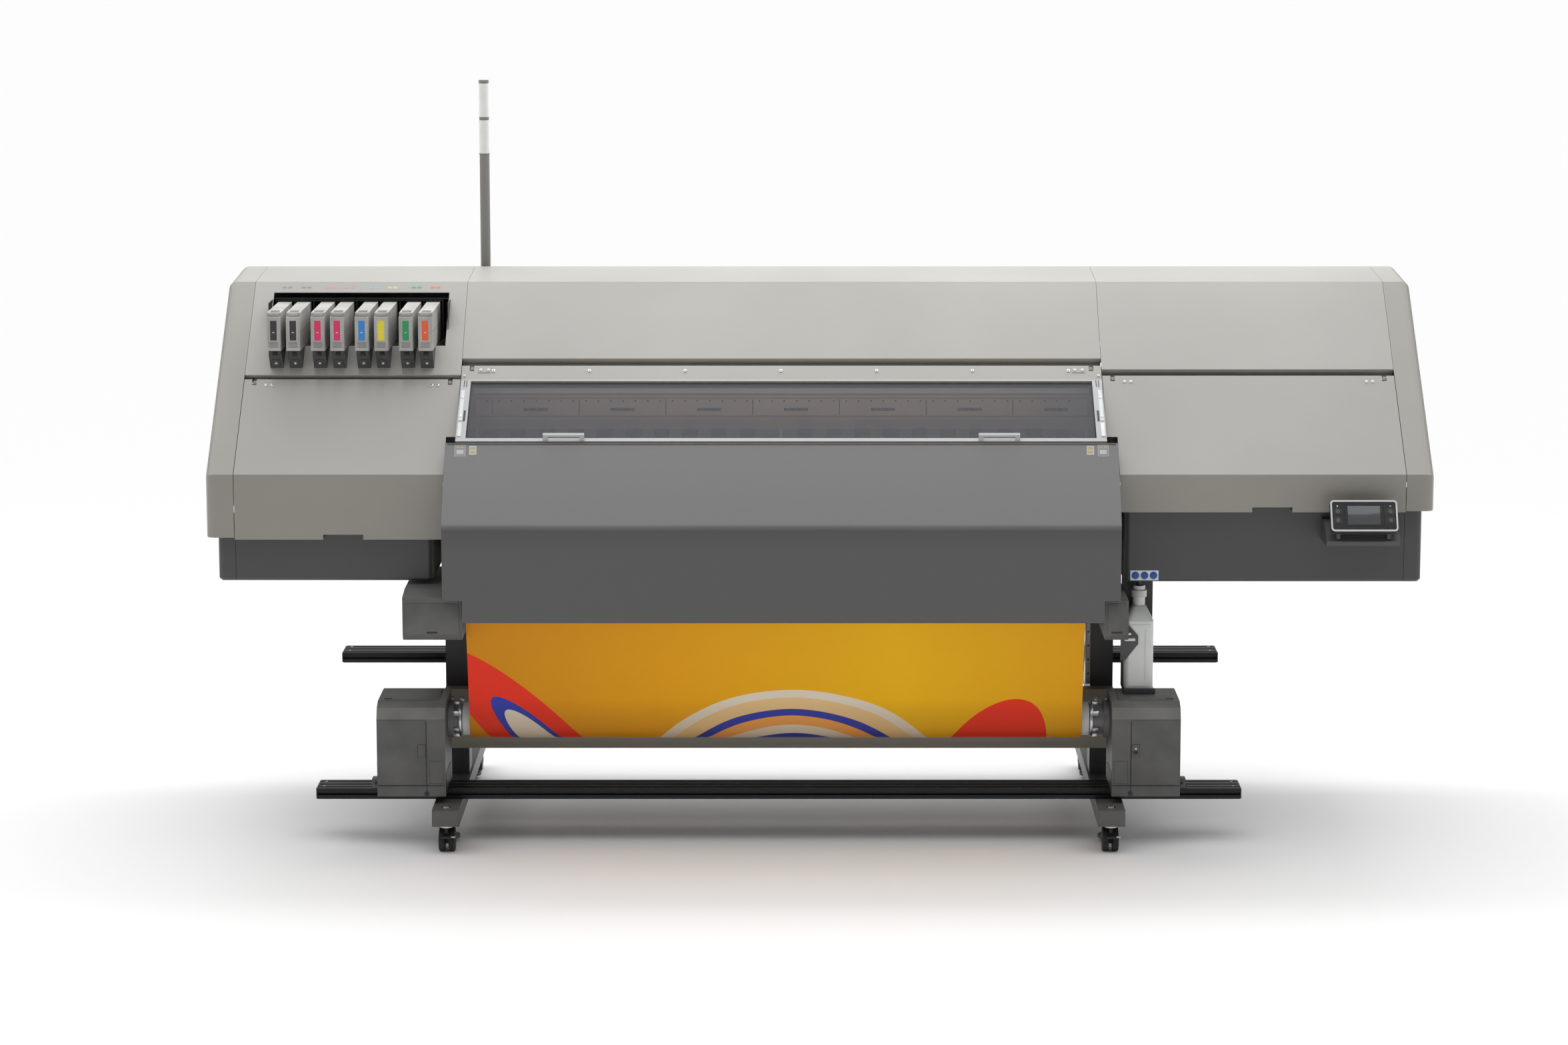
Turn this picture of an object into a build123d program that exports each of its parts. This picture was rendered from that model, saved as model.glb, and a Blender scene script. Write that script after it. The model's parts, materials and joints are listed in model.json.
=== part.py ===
"""Wide-format roll-to-roll inkjet printer with a rear supply roll and a front take-up roll.

Frame: origin on the floor under the middle of the machine, +X to the operator's right,
+Y to the rear, +Z up, millimetres. Rest pose: lid and doors closed, cartridges home.
Side-profile points are (y, z) pairs. A path runs from the rear over the top to the front,
so a positive depth from a path points into the machine.
"""

from build123d import *
from math import acos, atan2, cos, hypot, pi, radians, sin
import os

# ---- Driving dimensions -------------------------------------------------------------------
BODY_WIDTH = 3184.0
FRAME_LENGTH = 946.0  # front to rear, over the two foot beams
BODY_FRONT = -359.0
BODY_REAR = 360.0
CREASE_Z = 982.0  # where the vertical fascia meets the slanted front
BEND_Y = 124.0
BEND_Z = 1426.0
REAR_TOP_Z = 1440.0
SHEET = 4.0  # wall of every cover
SEAM = 0.8  # gap between neighbouring covers
SEAT = 0.3  # clearance of a piece that rests or slides on another
RUNNING_FIT = 0.05  # radial clearance of a shaft in its bore
OVERCUT = 1.0  # how far a cutting shape runs past the solid it cuts

PATH_X = -107.0  # middle of the media path
LEG_HALF_SPAN = 863.0
END_COVER_WIDTH = 74.0
LID_LEFT = -946.5
LID_RIGHT = 745.5
MEDIA_WIDTH = 1600.0

END_COVER_FILLET = 24.0
LIP_DEPTH = 20.0
LIP_LENGTH = 45.0
HINGE_DEPTH = 8.0
HINGE_DROP = 6.0
HINGE_PIN_R = 3.0

LEFT_BODY_BOTTOM = 811.0
RIGHT_BODY_BOTTOM = 883.0
LEFT_SHELL_BOTTOM = 698.0
RIGHT_SHELL_BOTTOM = 695.0
SHELL_FRONT = -335.0
SHELL_REAR = BODY_REAR - SHEET
SHELL_INSET = 27.0
SHELL_RIM = 6.0

BEAM_WIDTH = 70.0
BEAM_BOTTOM = 75.7
BEAM_TOP = 120.0
COLUMN_WIDTH = 60.0
COLUMN_FRONT = -90.0
COLUMN_REAR = -10.0
BED_BOTTOM = 740.0
BED_TOP = 800.0
BED_REAR = 120.0
ARM_HEIGHT = 40.0

RAIL_LENGTH = 2416.0
RAIL_DEPTH = 90.0
RAIL_HEIGHT = 28.5
FRONT_RAIL_Y = -359.0
REAR_RAIL_Y = 241.0
REAR_RAIL_Z = 350.0
SLOT_WIDTH = 8.0
SLOT_DEPTH = 10.0
SLOT_COUNT = 3

PLATEN_Z = 985.0
PLATEN_FRONT = -320.0
PLATEN_REAR = 100.0
PLATEN_THICKNESS = 20.0
SIDE_PLATE = 10.0
FEED_Y = -80.0
FEED_R = 12.0
PINCH_R = 8.0
PINCH_COUNT = 8
MEDIA_THICKNESS = 1.0

TAKEUP_Y = -290.0
TAKEUP_Z = 319.5
TAKEUP_R = 50.0
SUPPLY_Y = 330.0
SUPPLY_Z = 500.0
SUPPLY_R = 85.0
FLANGE_R = 49.0
FLANGE_WIDTH = 14.0
CHUCK_R = 39.5
SPINDLE_R = 12.0
SPINDLE_LENGTH = 34.0
SPINDLE_RUNOUT = 2.0
END_GAP = 1.0  # between a roll flange and its housing

CARTRIDGE_COUNT = 8
CARTRIDGE_WIDTH = 36.5
CARTRIDGE_HEIGHT = 100.0
CARTRIDGE_FRONT = -152.0
CARTRIDGE_LENGTH = 330.0
CARTRIDGE_Z = 1276.0
CARTRIDGE_FIRST_X = -1453.5
PAIR_PITCH = 115.8
TWIN_PITCH = 51.0

WHEEL_R = 29.0
WHEEL_WIDTH = 16.0
CASTER_TRAIL = 20.0

# ---- Places that follow from them ---------------------------------------------------------
BODY_HALF = BODY_WIDTH / 2
LEG_LEFT_X = PATH_X - LEG_HALF_SPAN
LEG_RIGHT_X = PATH_X + LEG_HALF_SPAN
COVER_LEFT = -BODY_HALF + END_COVER_WIDTH
COVER_RIGHT = BODY_HALF - END_COVER_WIDTH
MEDIA_LEFT = PATH_X - 8.0 - MEDIA_WIDTH / 2
MEDIA_RIGHT = MEDIA_LEFT + MEDIA_WIDTH
RAIL_LEFT = PATH_X - RAIL_LENGTH / 2
SLANT_LENGTH = hypot(BEND_Y - BODY_FRONT, BEND_Z - CREASE_Z)
SLANT_DY = (BEND_Y - BODY_FRONT) / SLANT_LENGTH
SLANT_DZ = (BEND_Z - CREASE_Z) / SLANT_LENGTH


def on_slant(run, depth=0.0):
    """Point on the slanted front: run down from the top bend, depth into the machine."""
    return (
        BEND_Y - SLANT_DY * run + SLANT_DZ * depth,
        BEND_Z - SLANT_DZ * run - SLANT_DY * depth,
    )


def run_at(z):
    """Distance down the slanted front at which its surface has height z."""
    return (BEND_Z - z) / SLANT_DZ


def shifted(path, depth):
    """The path moved into the machine by depth, with mitred corners."""
    normals = []
    for (y0, z0), (y1, z1) in zip(path, path[1:]):
        length = hypot(y1 - y0, z1 - z0)
        normals.append((-(z1 - z0) / length, (y1 - y0) / length))
    result = []
    for index, (y, z) in enumerate(path):
        before = normals[max(index - 1, 0)]
        after = normals[min(index, len(normals) - 1)]
        scale = depth / (1 + before[0] * after[0] + before[1] * after[1])
        result.append((y + (before[0] + after[0]) * scale, z + (before[1] + after[1]) * scale))
    return result


def sheet(path, outer=0.0, inner=SHEET):
    """Outline of a bent sheet between two depths from its path."""
    return shifted(path, outer) + shifted(path, inner)[::-1]


def rectangle(y0, y1, z0, z1):
    """Corner points of an upright rectangle."""
    return [(y0, z0), (y1, z0), (y1, z1), (y0, z1)]


def bar(points, x0, x1, mode=Mode.ADD):
    """Extrude a side profile from x0 to x1 in the current part."""
    with BuildSketch(Plane.YZ.offset(x0)) as section:
        with BuildLine():
            Polyline(*points, close=True)
        make_face()
    return extrude(section.sketch, amount=x1 - x0, mode=mode)


def block(x0, x1, y0, y1, z0, z1, mode=Mode.ADD):
    """Add or cut a box between two corners."""
    return bar(rectangle(y0, y1, z0, z1), x0, x1, mode)


def rod(x0, x1, y, z, radius, mode=Mode.ADD):
    """Add or cut a cylinder along X."""
    with BuildSketch(Plane.YZ.offset(x0)) as section:
        with Locations((y, z)):
            Circle(radius)
    return extrude(section.sketch, amount=x1 - x0, mode=mode)


def post(x, y, z0, z1, radius, mode=Mode.ADD):
    """Add or cut an upright cylinder."""
    with BuildSketch(Plane.XY.offset(z0)) as section:
        with Locations((x, y)):
            Circle(radius)
    return extrude(section.sketch, amount=z1 - z0, mode=mode)


def tangent_point(point, centre, radius):
    """Where a line from point touches the front of a roll."""
    dy = point[0] - centre[0]
    dz = point[1] - centre[1]
    angle = atan2(dz, dy) + acos(radius / hypot(dy, dz))
    return (centre[0] + radius * cos(angle), centre[1] + radius * sin(angle))


def save(builder, name):
    """Label a finished piece and write its STEP file."""
    builder.part.label = name
    export_step(builder.part, f"parts/{name}.step")


os.makedirs("parts", exist_ok=True)

# ---- Hinges of the doors and the lid ------------------------------------------------------
LUG_HALF_WIDTH = 4.0
LUG_HALF_RUN = 5.0
LUG_FACE = 4.4
KNUCKLE_WIDTH = 12.0
KNUCKLE_BACK = 13.0
NOTCH_RUN = 18.0
NOTCH_MARGIN = 7.0
HINGE_INSET = 28.0
HINGE_GAP = 1.0
PIN_END = 1.0


def hinge_lugs(left, right, run):
    """Two lugs with pins on the lip of a fixed cover, for a panel from left to right."""
    y, z = on_slant(run, HINGE_DEPTH)
    for x, side in ((left + HINGE_INSET, 1), (right - HINGE_INSET, -1)):
        outline = [
            on_slant(run - LUG_HALF_RUN, LUG_FACE),
            on_slant(run + LUG_HALF_RUN, LUG_FACE),
            on_slant(run + LUG_HALF_RUN, LIP_DEPTH),
            on_slant(run - LUG_HALF_RUN, LIP_DEPTH),
        ]
        bar(outline, x - LUG_HALF_WIDTH, x + LUG_HALF_WIDTH)
        rod(x, x + side * (LUG_HALF_WIDTH + KNUCKLE_WIDTH + PIN_END), y, z, HINGE_PIN_R)


def hinge_knuckles(left, right, run, top_run):
    """Notches, knuckles and bores at the top corners of a hinged panel."""
    y, z = on_slant(run, HINGE_DEPTH)
    for x, side in ((left + HINGE_INSET, 1), (right - HINGE_INSET, -1)):
        notch = [
            on_slant(top_run - OVERCUT, -OVERCUT),
            on_slant(top_run + NOTCH_RUN, -OVERCUT),
            on_slant(top_run + NOTCH_RUN, LIP_DEPTH),
            on_slant(top_run - OVERCUT, LIP_DEPTH),
        ]
        near = x - side * NOTCH_MARGIN
        far = x + side * (LUG_HALF_WIDTH + HINGE_GAP)
        bar(notch, near, far, Mode.SUBTRACT)
        outline = [
            on_slant(run - LUG_HALF_RUN, SHEET),
            on_slant(run + LUG_HALF_RUN, SHEET),
            on_slant(run + LUG_HALF_RUN, KNUCKLE_BACK),
            on_slant(run - LUG_HALF_RUN, KNUCKLE_BACK),
        ]
        bar(outline, far, far + side * KNUCKLE_WIDTH)
        rod(far - side * OVERCUT, far + side * (KNUCKLE_WIDTH + OVERCUT), y, z, HINGE_PIN_R + RUNNING_FIT,
            Mode.SUBTRACT)


# ---- Stand --------------------------------------------------------------------------------
FRAME_HALF = FRAME_LENGTH / 2
CASTER_INSET = 28.0
SWIVEL_Y = FRAME_HALF - CASTER_INSET
SWIVEL_R = 6.0
SWIVEL_LENGTH = 30.0
SWIVEL_RUNOUT = 2.0
FOOT_Y = 330.0
FOOT_CLEARANCE = 10.0
FOOT_R = 25.0
FOOT_PAD = 8.0
FOOT_STEM_R = 6.0

for side, leg_x in (("left", LEG_LEFT_X), ("right", LEG_RIGHT_X)):
    with BuildPart() as leg:
        block(leg_x - BEAM_WIDTH / 2, leg_x + BEAM_WIDTH / 2, -FRAME_HALF, FRAME_HALF,
              BEAM_BOTTOM, BEAM_TOP)
        column = (leg_x - COLUMN_WIDTH / 2, leg_x + COLUMN_WIDTH / 2)
        block(*column, COLUMN_FRONT, COLUMN_REAR, BEAM_TOP, BED_BOTTOM)
        block(*column, COLUMN_REAR, REAR_RAIL_Y + RAIL_DEPTH, REAR_RAIL_Z - ARM_HEIGHT, REAR_RAIL_Z)
        for y in (-SWIVEL_Y, SWIVEL_Y):
            post(leg_x, y, BEAM_BOTTOM, BEAM_BOTTOM + SWIVEL_LENGTH + SWIVEL_RUNOUT,
                 SWIVEL_R + RUNNING_FIT, Mode.SUBTRACT)
        for y in (-FOOT_Y, FOOT_Y):
            post(leg_x, y, FOOT_CLEARANCE + FOOT_PAD, BEAM_BOTTOM, FOOT_STEM_R)
            post(leg_x, y, FOOT_CLEARANCE, FOOT_CLEARANCE + FOOT_PAD, FOOT_R)
    save(leg, f"leg_{side}")

CROSSBAR_FRONT = -130.0
CROSSBAR_BOTTOM = 196.0
CROSSBAR_TOP = 361.0
CROSSBAR_BEVEL_RISE = 22.0
CROSSBAR_BEVEL_RUN = 16.0
BOLT_OFFSET = 14.0
BOLT_DROP = 26.0
BOLT_R = 4.0
with BuildPart() as lower_crossbar:
    crossbar_path = [
        (COLUMN_FRONT, CROSSBAR_TOP),
        (CROSSBAR_FRONT, CROSSBAR_TOP),
        (CROSSBAR_FRONT, CROSSBAR_BOTTOM + CROSSBAR_BEVEL_RISE),
        (CROSSBAR_FRONT + CROSSBAR_BEVEL_RUN, CROSSBAR_BOTTOM),
        (COLUMN_FRONT, CROSSBAR_BOTTOM),
    ]
    bar(sheet(crossbar_path), LEG_LEFT_X - COLUMN_WIDTH / 2, LEG_RIGHT_X + COLUMN_WIDTH / 2)
    with BuildSketch(Plane.XZ.offset(-CROSSBAR_FRONT)) as holes:
        for leg_x in (LEG_LEFT_X, LEG_RIGHT_X):
            bolt_z = CROSSBAR_TOP - BOLT_DROP
            with Locations((leg_x - BOLT_OFFSET, bolt_z), (leg_x + BOLT_OFFSET, bolt_z)):
                Circle(BOLT_R)
    extrude(amount=-2 * SHEET, mode=Mode.SUBTRACT)
save(lower_crossbar, "lower_crossbar")

for name, rail_y, rail_z in (
    ("front_rail", FRONT_RAIL_Y, BEAM_TOP),
    ("rear_rail", REAR_RAIL_Y, REAR_RAIL_Z),
):
    with BuildPart() as rail:
        block(RAIL_LEFT, RAIL_LEFT + RAIL_LENGTH, rail_y, rail_y + RAIL_DEPTH,
              rail_z, rail_z + RAIL_HEIGHT)
        for lane in range(SLOT_COUNT):
            middle = rail_y + RAIL_DEPTH * (lane + 0.5) / SLOT_COUNT
            block(RAIL_LEFT, RAIL_LEFT + RAIL_LENGTH, middle - SLOT_WIDTH / 2, middle + SLOT_WIDTH / 2,
                  rail_z + RAIL_HEIGHT - SLOT_DEPTH, rail_z + RAIL_HEIGHT, Mode.SUBTRACT)
        middle = rail_z + RAIL_HEIGHT / 2
        block(RAIL_LEFT, RAIL_LEFT + RAIL_LENGTH, rail_y, rail_y + SLOT_DEPTH,
              middle - SLOT_WIDTH / 2, middle + SLOT_WIDTH / 2, Mode.SUBTRACT)
    save(rail, name)

# ---- Casters ------------------------------------------------------------------------------
FORK_HALF = 4.0
AXLE_R = 4.0
FORK_TOP = BEAM_BOTTOM - SEAT
FORK_PLATE = 6.0
FORK_PLATE_R = 18.0
FORK_BACK = 10.0
FORK_NOSE = 14.0
FORK_RISE = 24.0
FORK_AXLE_HALF = 8.0
AXLE_END = 2.0
WHEEL_GAP = 1.0
WHEEL_FILLET = 3.0
for side, leg_x in (("left", LEG_LEFT_X), ("right", LEG_RIGHT_X)):
    for end, swivel_y, toward in (("front", -SWIVEL_Y, 1), ("rear", SWIVEL_Y, -1)):
        axle_y = swivel_y + toward * CASTER_TRAIL
        with BuildPart() as fork:
            post(leg_x, swivel_y, FORK_TOP - FORK_PLATE, FORK_TOP, FORK_PLATE_R)
            post(leg_x, swivel_y, FORK_TOP, BEAM_BOTTOM + SWIVEL_LENGTH, SWIVEL_R)
            web = [
                (swivel_y - toward * FORK_BACK, FORK_TOP - FORK_PLATE),
                (swivel_y + toward * FORK_NOSE, FORK_TOP - FORK_PLATE),
                (axle_y + toward * FORK_AXLE_HALF, WHEEL_R + FORK_AXLE_HALF),
                (axle_y + toward * FORK_AXLE_HALF, WHEEL_R - FORK_AXLE_HALF),
                (axle_y - toward * FORK_AXLE_HALF, WHEEL_R - FORK_AXLE_HALF),
                (swivel_y - toward * FORK_BACK, WHEEL_R + FORK_RISE),
            ]
            bar(web, leg_x - FORK_HALF, leg_x + FORK_HALF)
            axle_half = FORK_HALF + WHEEL_WIDTH + AXLE_END
            rod(leg_x - axle_half, leg_x + axle_half, axle_y, WHEEL_R, AXLE_R)
        save(fork, f"caster_fork_{end}_{side}")
        with BuildPart() as wheels:
            for start in (leg_x - FORK_HALF - WHEEL_GAP - WHEEL_WIDTH, leg_x + FORK_HALF + WHEEL_GAP):
                rod(start, start + WHEEL_WIDTH, axle_y, WHEEL_R, WHEEL_R)
                rod(start, start + WHEEL_WIDTH, axle_y, WHEEL_R, AXLE_R + RUNNING_FIT, Mode.SUBTRACT)
            fillet(wheels.edges().filter_by(GeomType.CIRCLE).filter_by(
                lambda edge: edge.radius > WHEEL_R - WHEEL_FILLET), WHEEL_FILLET)
        save(wheels, f"caster_wheels_{end}_{side}")

# ---- Chassis ------------------------------------------------------------------------------
BED_FRONT = COLUMN_FRONT + 10.0
BED_HALF = BODY_HALF - 92.0
BED_WALL = 5.0
ARM_WIDTH = 40.0
GUIDE_FRONT = -40.0
GUIDE_REAR = 60.0
GUIDE_BOTTOM = 1050.0
GUIDE_TOP = 1170.0
GUIDE_HALF = BODY_HALF - 192.0
SIDE_LEFT = LID_LEFT + 11.5
SIDE_RIGHT = LID_RIGHT - 10.5
SIDE_NOSE = PLATEN_Z - 80.0
JOURNAL_R = 6.0
GUIDE_POSTS = (COVER_LEFT + 300.0, COVER_RIGHT - 200.0)
SHELL_ARMS = (
    (COVER_LEFT + 250.0, LEFT_SHELL_BOTTOM),
    (LEG_LEFT_X - COLUMN_WIDTH - 50.0, LEFT_SHELL_BOTTOM),
    (LEG_RIGHT_X + COLUMN_WIDTH + 50.0, RIGHT_SHELL_BOTTOM),
    (COVER_RIGHT - 250.0, RIGHT_SHELL_BOTTOM),
)
with BuildPart() as bed_frame:
    block(-BED_HALF, BED_HALF, BED_FRONT, BED_REAR, BED_BOTTOM, BED_TOP)
    block(-BED_HALF, BED_HALF, BED_FRONT + BED_WALL, BED_REAR - BED_WALL,
          BED_BOTTOM + BED_WALL, BED_TOP - BED_WALL, Mode.SUBTRACT)
    side_plate = [
        (PLATEN_FRONT, SIDE_NOSE),
        (PLATEN_FRONT, PLATEN_Z),
        (PLATEN_REAR, PLATEN_Z),
        (PLATEN_REAR, BED_TOP),
        (BED_FRONT, BED_TOP),
    ]
    for x in (SIDE_LEFT - SIDE_PLATE, SIDE_RIGHT):
        bar(side_plate, x, x + SIDE_PLATE)
        rod(x, x + SIDE_PLATE, FEED_Y, PLATEN_Z - FEED_R, JOURNAL_R + RUNNING_FIT, Mode.SUBTRACT)
    for x in GUIDE_POSTS:
        block(x, x + ARM_WIDTH, GUIDE_FRONT, GUIDE_REAR, BED_TOP, GUIDE_BOTTOM)
        block(x, x + ARM_WIDTH, BED_REAR, SHELL_REAR - SHEET - SHELL_RIM, BED_BOTTOM, BED_TOP)
    for x, shell_bottom in SHELL_ARMS:
        block(x, x + ARM_WIDTH, BED_FRONT, BED_REAR, shell_bottom + SHEET, BED_BOTTOM)
save(bed_frame, "bed_frame")

GUIDE_WALL = 6.0
RAIL_RIB = 10.0
RIB_HALF = 4.0
RIB_HEIGHTS = (GUIDE_BOTTOM + 30, GUIDE_TOP - 30)
PINCH_JOURNAL_R = 4.0
PINCH_WIDTH = 50.0
PINCH_ARM = 8.0
PINCH_Z = PLATEN_Z + SEAT + MEDIA_THICKNESS + SEAT + PINCH_R
with BuildPart() as guide_beam:
    block(-GUIDE_HALF, GUIDE_HALF, GUIDE_FRONT, GUIDE_REAR, GUIDE_BOTTOM, GUIDE_TOP)
    block(-GUIDE_HALF, GUIDE_HALF, GUIDE_FRONT + GUIDE_WALL, GUIDE_REAR - GUIDE_WALL,
          GUIDE_BOTTOM + GUIDE_WALL, GUIDE_TOP - GUIDE_WALL, Mode.SUBTRACT)
    for z in RIB_HEIGHTS:
        block(-GUIDE_HALF, GUIDE_HALF, GUIDE_FRONT - RAIL_RIB, GUIDE_FRONT, z - RIB_HALF, z + RIB_HALF)
    pinch_arm = [
        (FEED_Y - PINCH_R + 2, PINCH_Z - PINCH_R + 3),
        (FEED_Y + PINCH_R - 2, PINCH_Z - PINCH_R + 3),
        (GUIDE_FRONT + 20, GUIDE_BOTTOM),
        (GUIDE_FRONT, GUIDE_BOTTOM),
        (FEED_Y - PINCH_R + 2, PINCH_Z + PINCH_R),
    ]
    for x in (SIDE_LEFT + 20, PATH_X, SIDE_RIGHT - 20 - PINCH_ARM):
        bar(pinch_arm, x, x + PINCH_ARM)
        rod(x, x + PINCH_ARM, FEED_Y, PINCH_Z, PINCH_JOURNAL_R + RUNNING_FIT, Mode.SUBTRACT)
save(guide_beam, "guide_beam")

# ---- Media path ---------------------------------------------------------------------------
APRON_KNEE = (-398.0, 878.0)
APRON_END = (-433.0, 640.0)
APRON_MARGIN = 4.0
APRON_TONGUE = 8.0
FEED_GAP = 3.0
with BuildPart() as platen:
    platen_heights = (PLATEN_Z - PLATEN_THICKNESS, PLATEN_Z)
    block(SIDE_LEFT, SIDE_RIGHT, PLATEN_FRONT, FEED_Y - FEED_R - FEED_GAP, *platen_heights)
    block(SIDE_LEFT, SIDE_RIGHT, FEED_Y + FEED_R + FEED_GAP, PLATEN_REAR, *platen_heights)
    tongue = (PLATEN_FRONT + APRON_TONGUE, PLATEN_Z)
    apron_path = [tongue, (PLATEN_FRONT, PLATEN_Z), APRON_KNEE, APRON_END]
    bar(sheet(apron_path), MEDIA_LEFT - APRON_MARGIN, MEDIA_RIGHT + APRON_MARGIN)
save(platen, "platen")

JOURNAL_LENGTH = 20.0
ROLLER_END_GAP = 2.0
with BuildPart() as feed_roller:
    feed_axis = (FEED_Y, PLATEN_Z - FEED_R)
    rod(SIDE_LEFT + ROLLER_END_GAP, SIDE_RIGHT - ROLLER_END_GAP, *feed_axis, FEED_R)
    rod(SIDE_LEFT - SIDE_PLATE - JOURNAL_LENGTH, SIDE_RIGHT + SIDE_PLATE + JOURNAL_LENGTH,
        *feed_axis, JOURNAL_R)
save(feed_roller, "feed_roller")

with BuildPart() as pinch_rollers:
    rod(SIDE_LEFT + 10, SIDE_RIGHT - 10, FEED_Y, PINCH_Z, PINCH_JOURNAL_R)
    pinch_pitch = MEDIA_WIDTH / PINCH_COUNT
    for index in range(PINCH_COUNT):
        start = MEDIA_LEFT + pinch_pitch * (index + 0.5) - PINCH_WIDTH / 2
        rod(start, start + PINCH_WIDTH, FEED_Y, PINCH_Z, PINCH_R)
save(pinch_rollers, "pinch_rollers")

REAR_TURN_LOW = (172.0, 720.0)
REAR_TURN_HIGH = (165.0, 930.0)
with BuildPart() as media_web:
    supply_centre = (SUPPLY_Y, SUPPLY_Z)
    supply_touch = tangent_point(REAR_TURN_LOW, supply_centre, SUPPLY_R + 2 * SEAT + MEDIA_THICKNESS)
    takeup_touch = tangent_point(APRON_END, (TAKEUP_Y, TAKEUP_Z), TAKEUP_R)
    media_path = [
        supply_touch,
        REAR_TURN_LOW,
        REAR_TURN_HIGH,
        (PLATEN_REAR + 5, PLATEN_Z),
        (PLATEN_FRONT, PLATEN_Z),
        APRON_KNEE,
        APRON_END,
        takeup_touch,
    ]
    bar(sheet(media_path, -SEAT - MEDIA_THICKNESS, -SEAT), MEDIA_LEFT, MEDIA_RIGHT)
save(media_web, "media_web")


def wound_roll(y, z, radius, left, right):
    """Roll of media on its core, with chucks, flanges and spindles at both ends."""
    rod(left + FLANGE_WIDTH, right - FLANGE_WIDTH, y, z, CHUCK_R)
    rod(MEDIA_LEFT, MEDIA_RIGHT, y, z, radius)
    rod(left, left + FLANGE_WIDTH, y, z, FLANGE_R)
    rod(right - FLANGE_WIDTH, right, y, z, FLANGE_R)
    rod(left - SPINDLE_LENGTH, right + SPINDLE_LENGTH, y, z, SPINDLE_R)


HOUSING_INNER_LEFT = LEG_LEFT_X - 4.0
HOUSING_INNER_RIGHT = LEG_RIGHT_X + 4.0
with BuildPart() as takeup_roll:
    wound_roll(TAKEUP_Y, TAKEUP_Z, TAKEUP_R, HOUSING_INNER_LEFT + END_GAP, HOUSING_INNER_RIGHT - END_GAP)
save(takeup_roll, "takeup_roll")

HOUSING_WIDTH = 178.0
HOUSING_FRONT = -410.0
HOUSING_REAR = -225.0
HOUSING_TOP = 386.0
HOUSING_BEND = 40.0
HOUSING_ROUND = 0.3 * HOUSING_BEND
HOUSING_BOTTOM = BEAM_TOP + RAIL_HEIGHT + SEAT
HOUSING_HEEL = BEAM_TOP + 20.0
for side, inner, outer in (
    ("left", HOUSING_INNER_LEFT, HOUSING_INNER_LEFT - HOUSING_WIDTH),
    ("right", HOUSING_INNER_RIGHT, HOUSING_INNER_RIGHT + HOUSING_WIDTH),
):
    outward = -1 if side == "left" else 1
    with BuildPart() as housing:
        outline = [
            (HOUSING_FRONT, HOUSING_BOTTOM),
            (HOUSING_REAR, HOUSING_BOTTOM),
            (HOUSING_REAR, HOUSING_TOP),
            (HOUSING_FRONT + HOUSING_BEND, HOUSING_TOP),
            (HOUSING_FRONT + HOUSING_ROUND, HOUSING_TOP - HOUSING_ROUND),
            (HOUSING_FRONT, HOUSING_TOP - HOUSING_BEND),
        ]
        bar(outline, inner, outer)
        rod(inner, inner + outward * (SPINDLE_LENGTH + SPINDLE_RUNOUT), TAKEUP_Y, TAKEUP_Z,
            SPINDLE_R + RUNNING_FIT, Mode.SUBTRACT)
        block(inner, outer, HOUSING_FRONT, FRONT_RAIL_Y - SEAT, HOUSING_HEEL, HOUSING_BOTTOM)
    save(housing, f"takeup_housing_{side}")

SUPPLY_HOUSING_WIDTH = 62.0
SUPPLY_INNER_LEFT = LEG_LEFT_X
SUPPLY_INNER_RIGHT = LEG_RIGHT_X - 6.0
with BuildPart() as supply_roll:
    wound_roll(SUPPLY_Y, SUPPLY_Z, SUPPLY_R, SUPPLY_INNER_LEFT + END_GAP, SUPPLY_INNER_RIGHT - END_GAP)
save(supply_roll, "supply_roll")

SUPPLY_HOUSING_TOP = SUPPLY_Z + 90.0
SUPPLY_HOUSING_REAR = SUPPLY_Y + 95.0
SUPPLY_HOUSING_BEVEL = 30.0
SUPPLY_CLAMP_BOTTOM = 258.0
SUPPLY_CLAMP_WIDTH = 12.0
with BuildPart() as supply_housings:
    for inner, outward in ((SUPPLY_INNER_LEFT, -1), (SUPPLY_INNER_RIGHT, 1)):
        outer = inner + outward * SUPPLY_HOUSING_WIDTH
        outline = [
            (REAR_RAIL_Y, REAR_RAIL_Z + RAIL_HEIGHT),
            (REAR_RAIL_Y + RAIL_DEPTH, REAR_RAIL_Z + RAIL_HEIGHT),
            (REAR_RAIL_Y + RAIL_DEPTH, SUPPLY_CLAMP_BOTTOM),
            (REAR_RAIL_Y + RAIL_DEPTH + SUPPLY_CLAMP_WIDTH, SUPPLY_CLAMP_BOTTOM),
            (SUPPLY_HOUSING_REAR, SUPPLY_Z - 70),
            (SUPPLY_HOUSING_REAR, SUPPLY_HOUSING_TOP - SUPPLY_HOUSING_BEVEL),
            (SUPPLY_HOUSING_REAR - SUPPLY_HOUSING_BEVEL, SUPPLY_HOUSING_TOP),
            (REAR_RAIL_Y + SUPPLY_HOUSING_BEVEL, SUPPLY_HOUSING_TOP),
            (REAR_RAIL_Y, SUPPLY_HOUSING_TOP - SUPPLY_HOUSING_BEVEL),
        ]
        bar(outline, inner, outer)
        rod(inner, inner + outward * (SPINDLE_LENGTH + SPINDLE_RUNOUT), SUPPLY_Y, SUPPLY_Z,
            SPINDLE_R + RUNNING_FIT, Mode.SUBTRACT)
save(supply_housings, "supply_housings")

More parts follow.
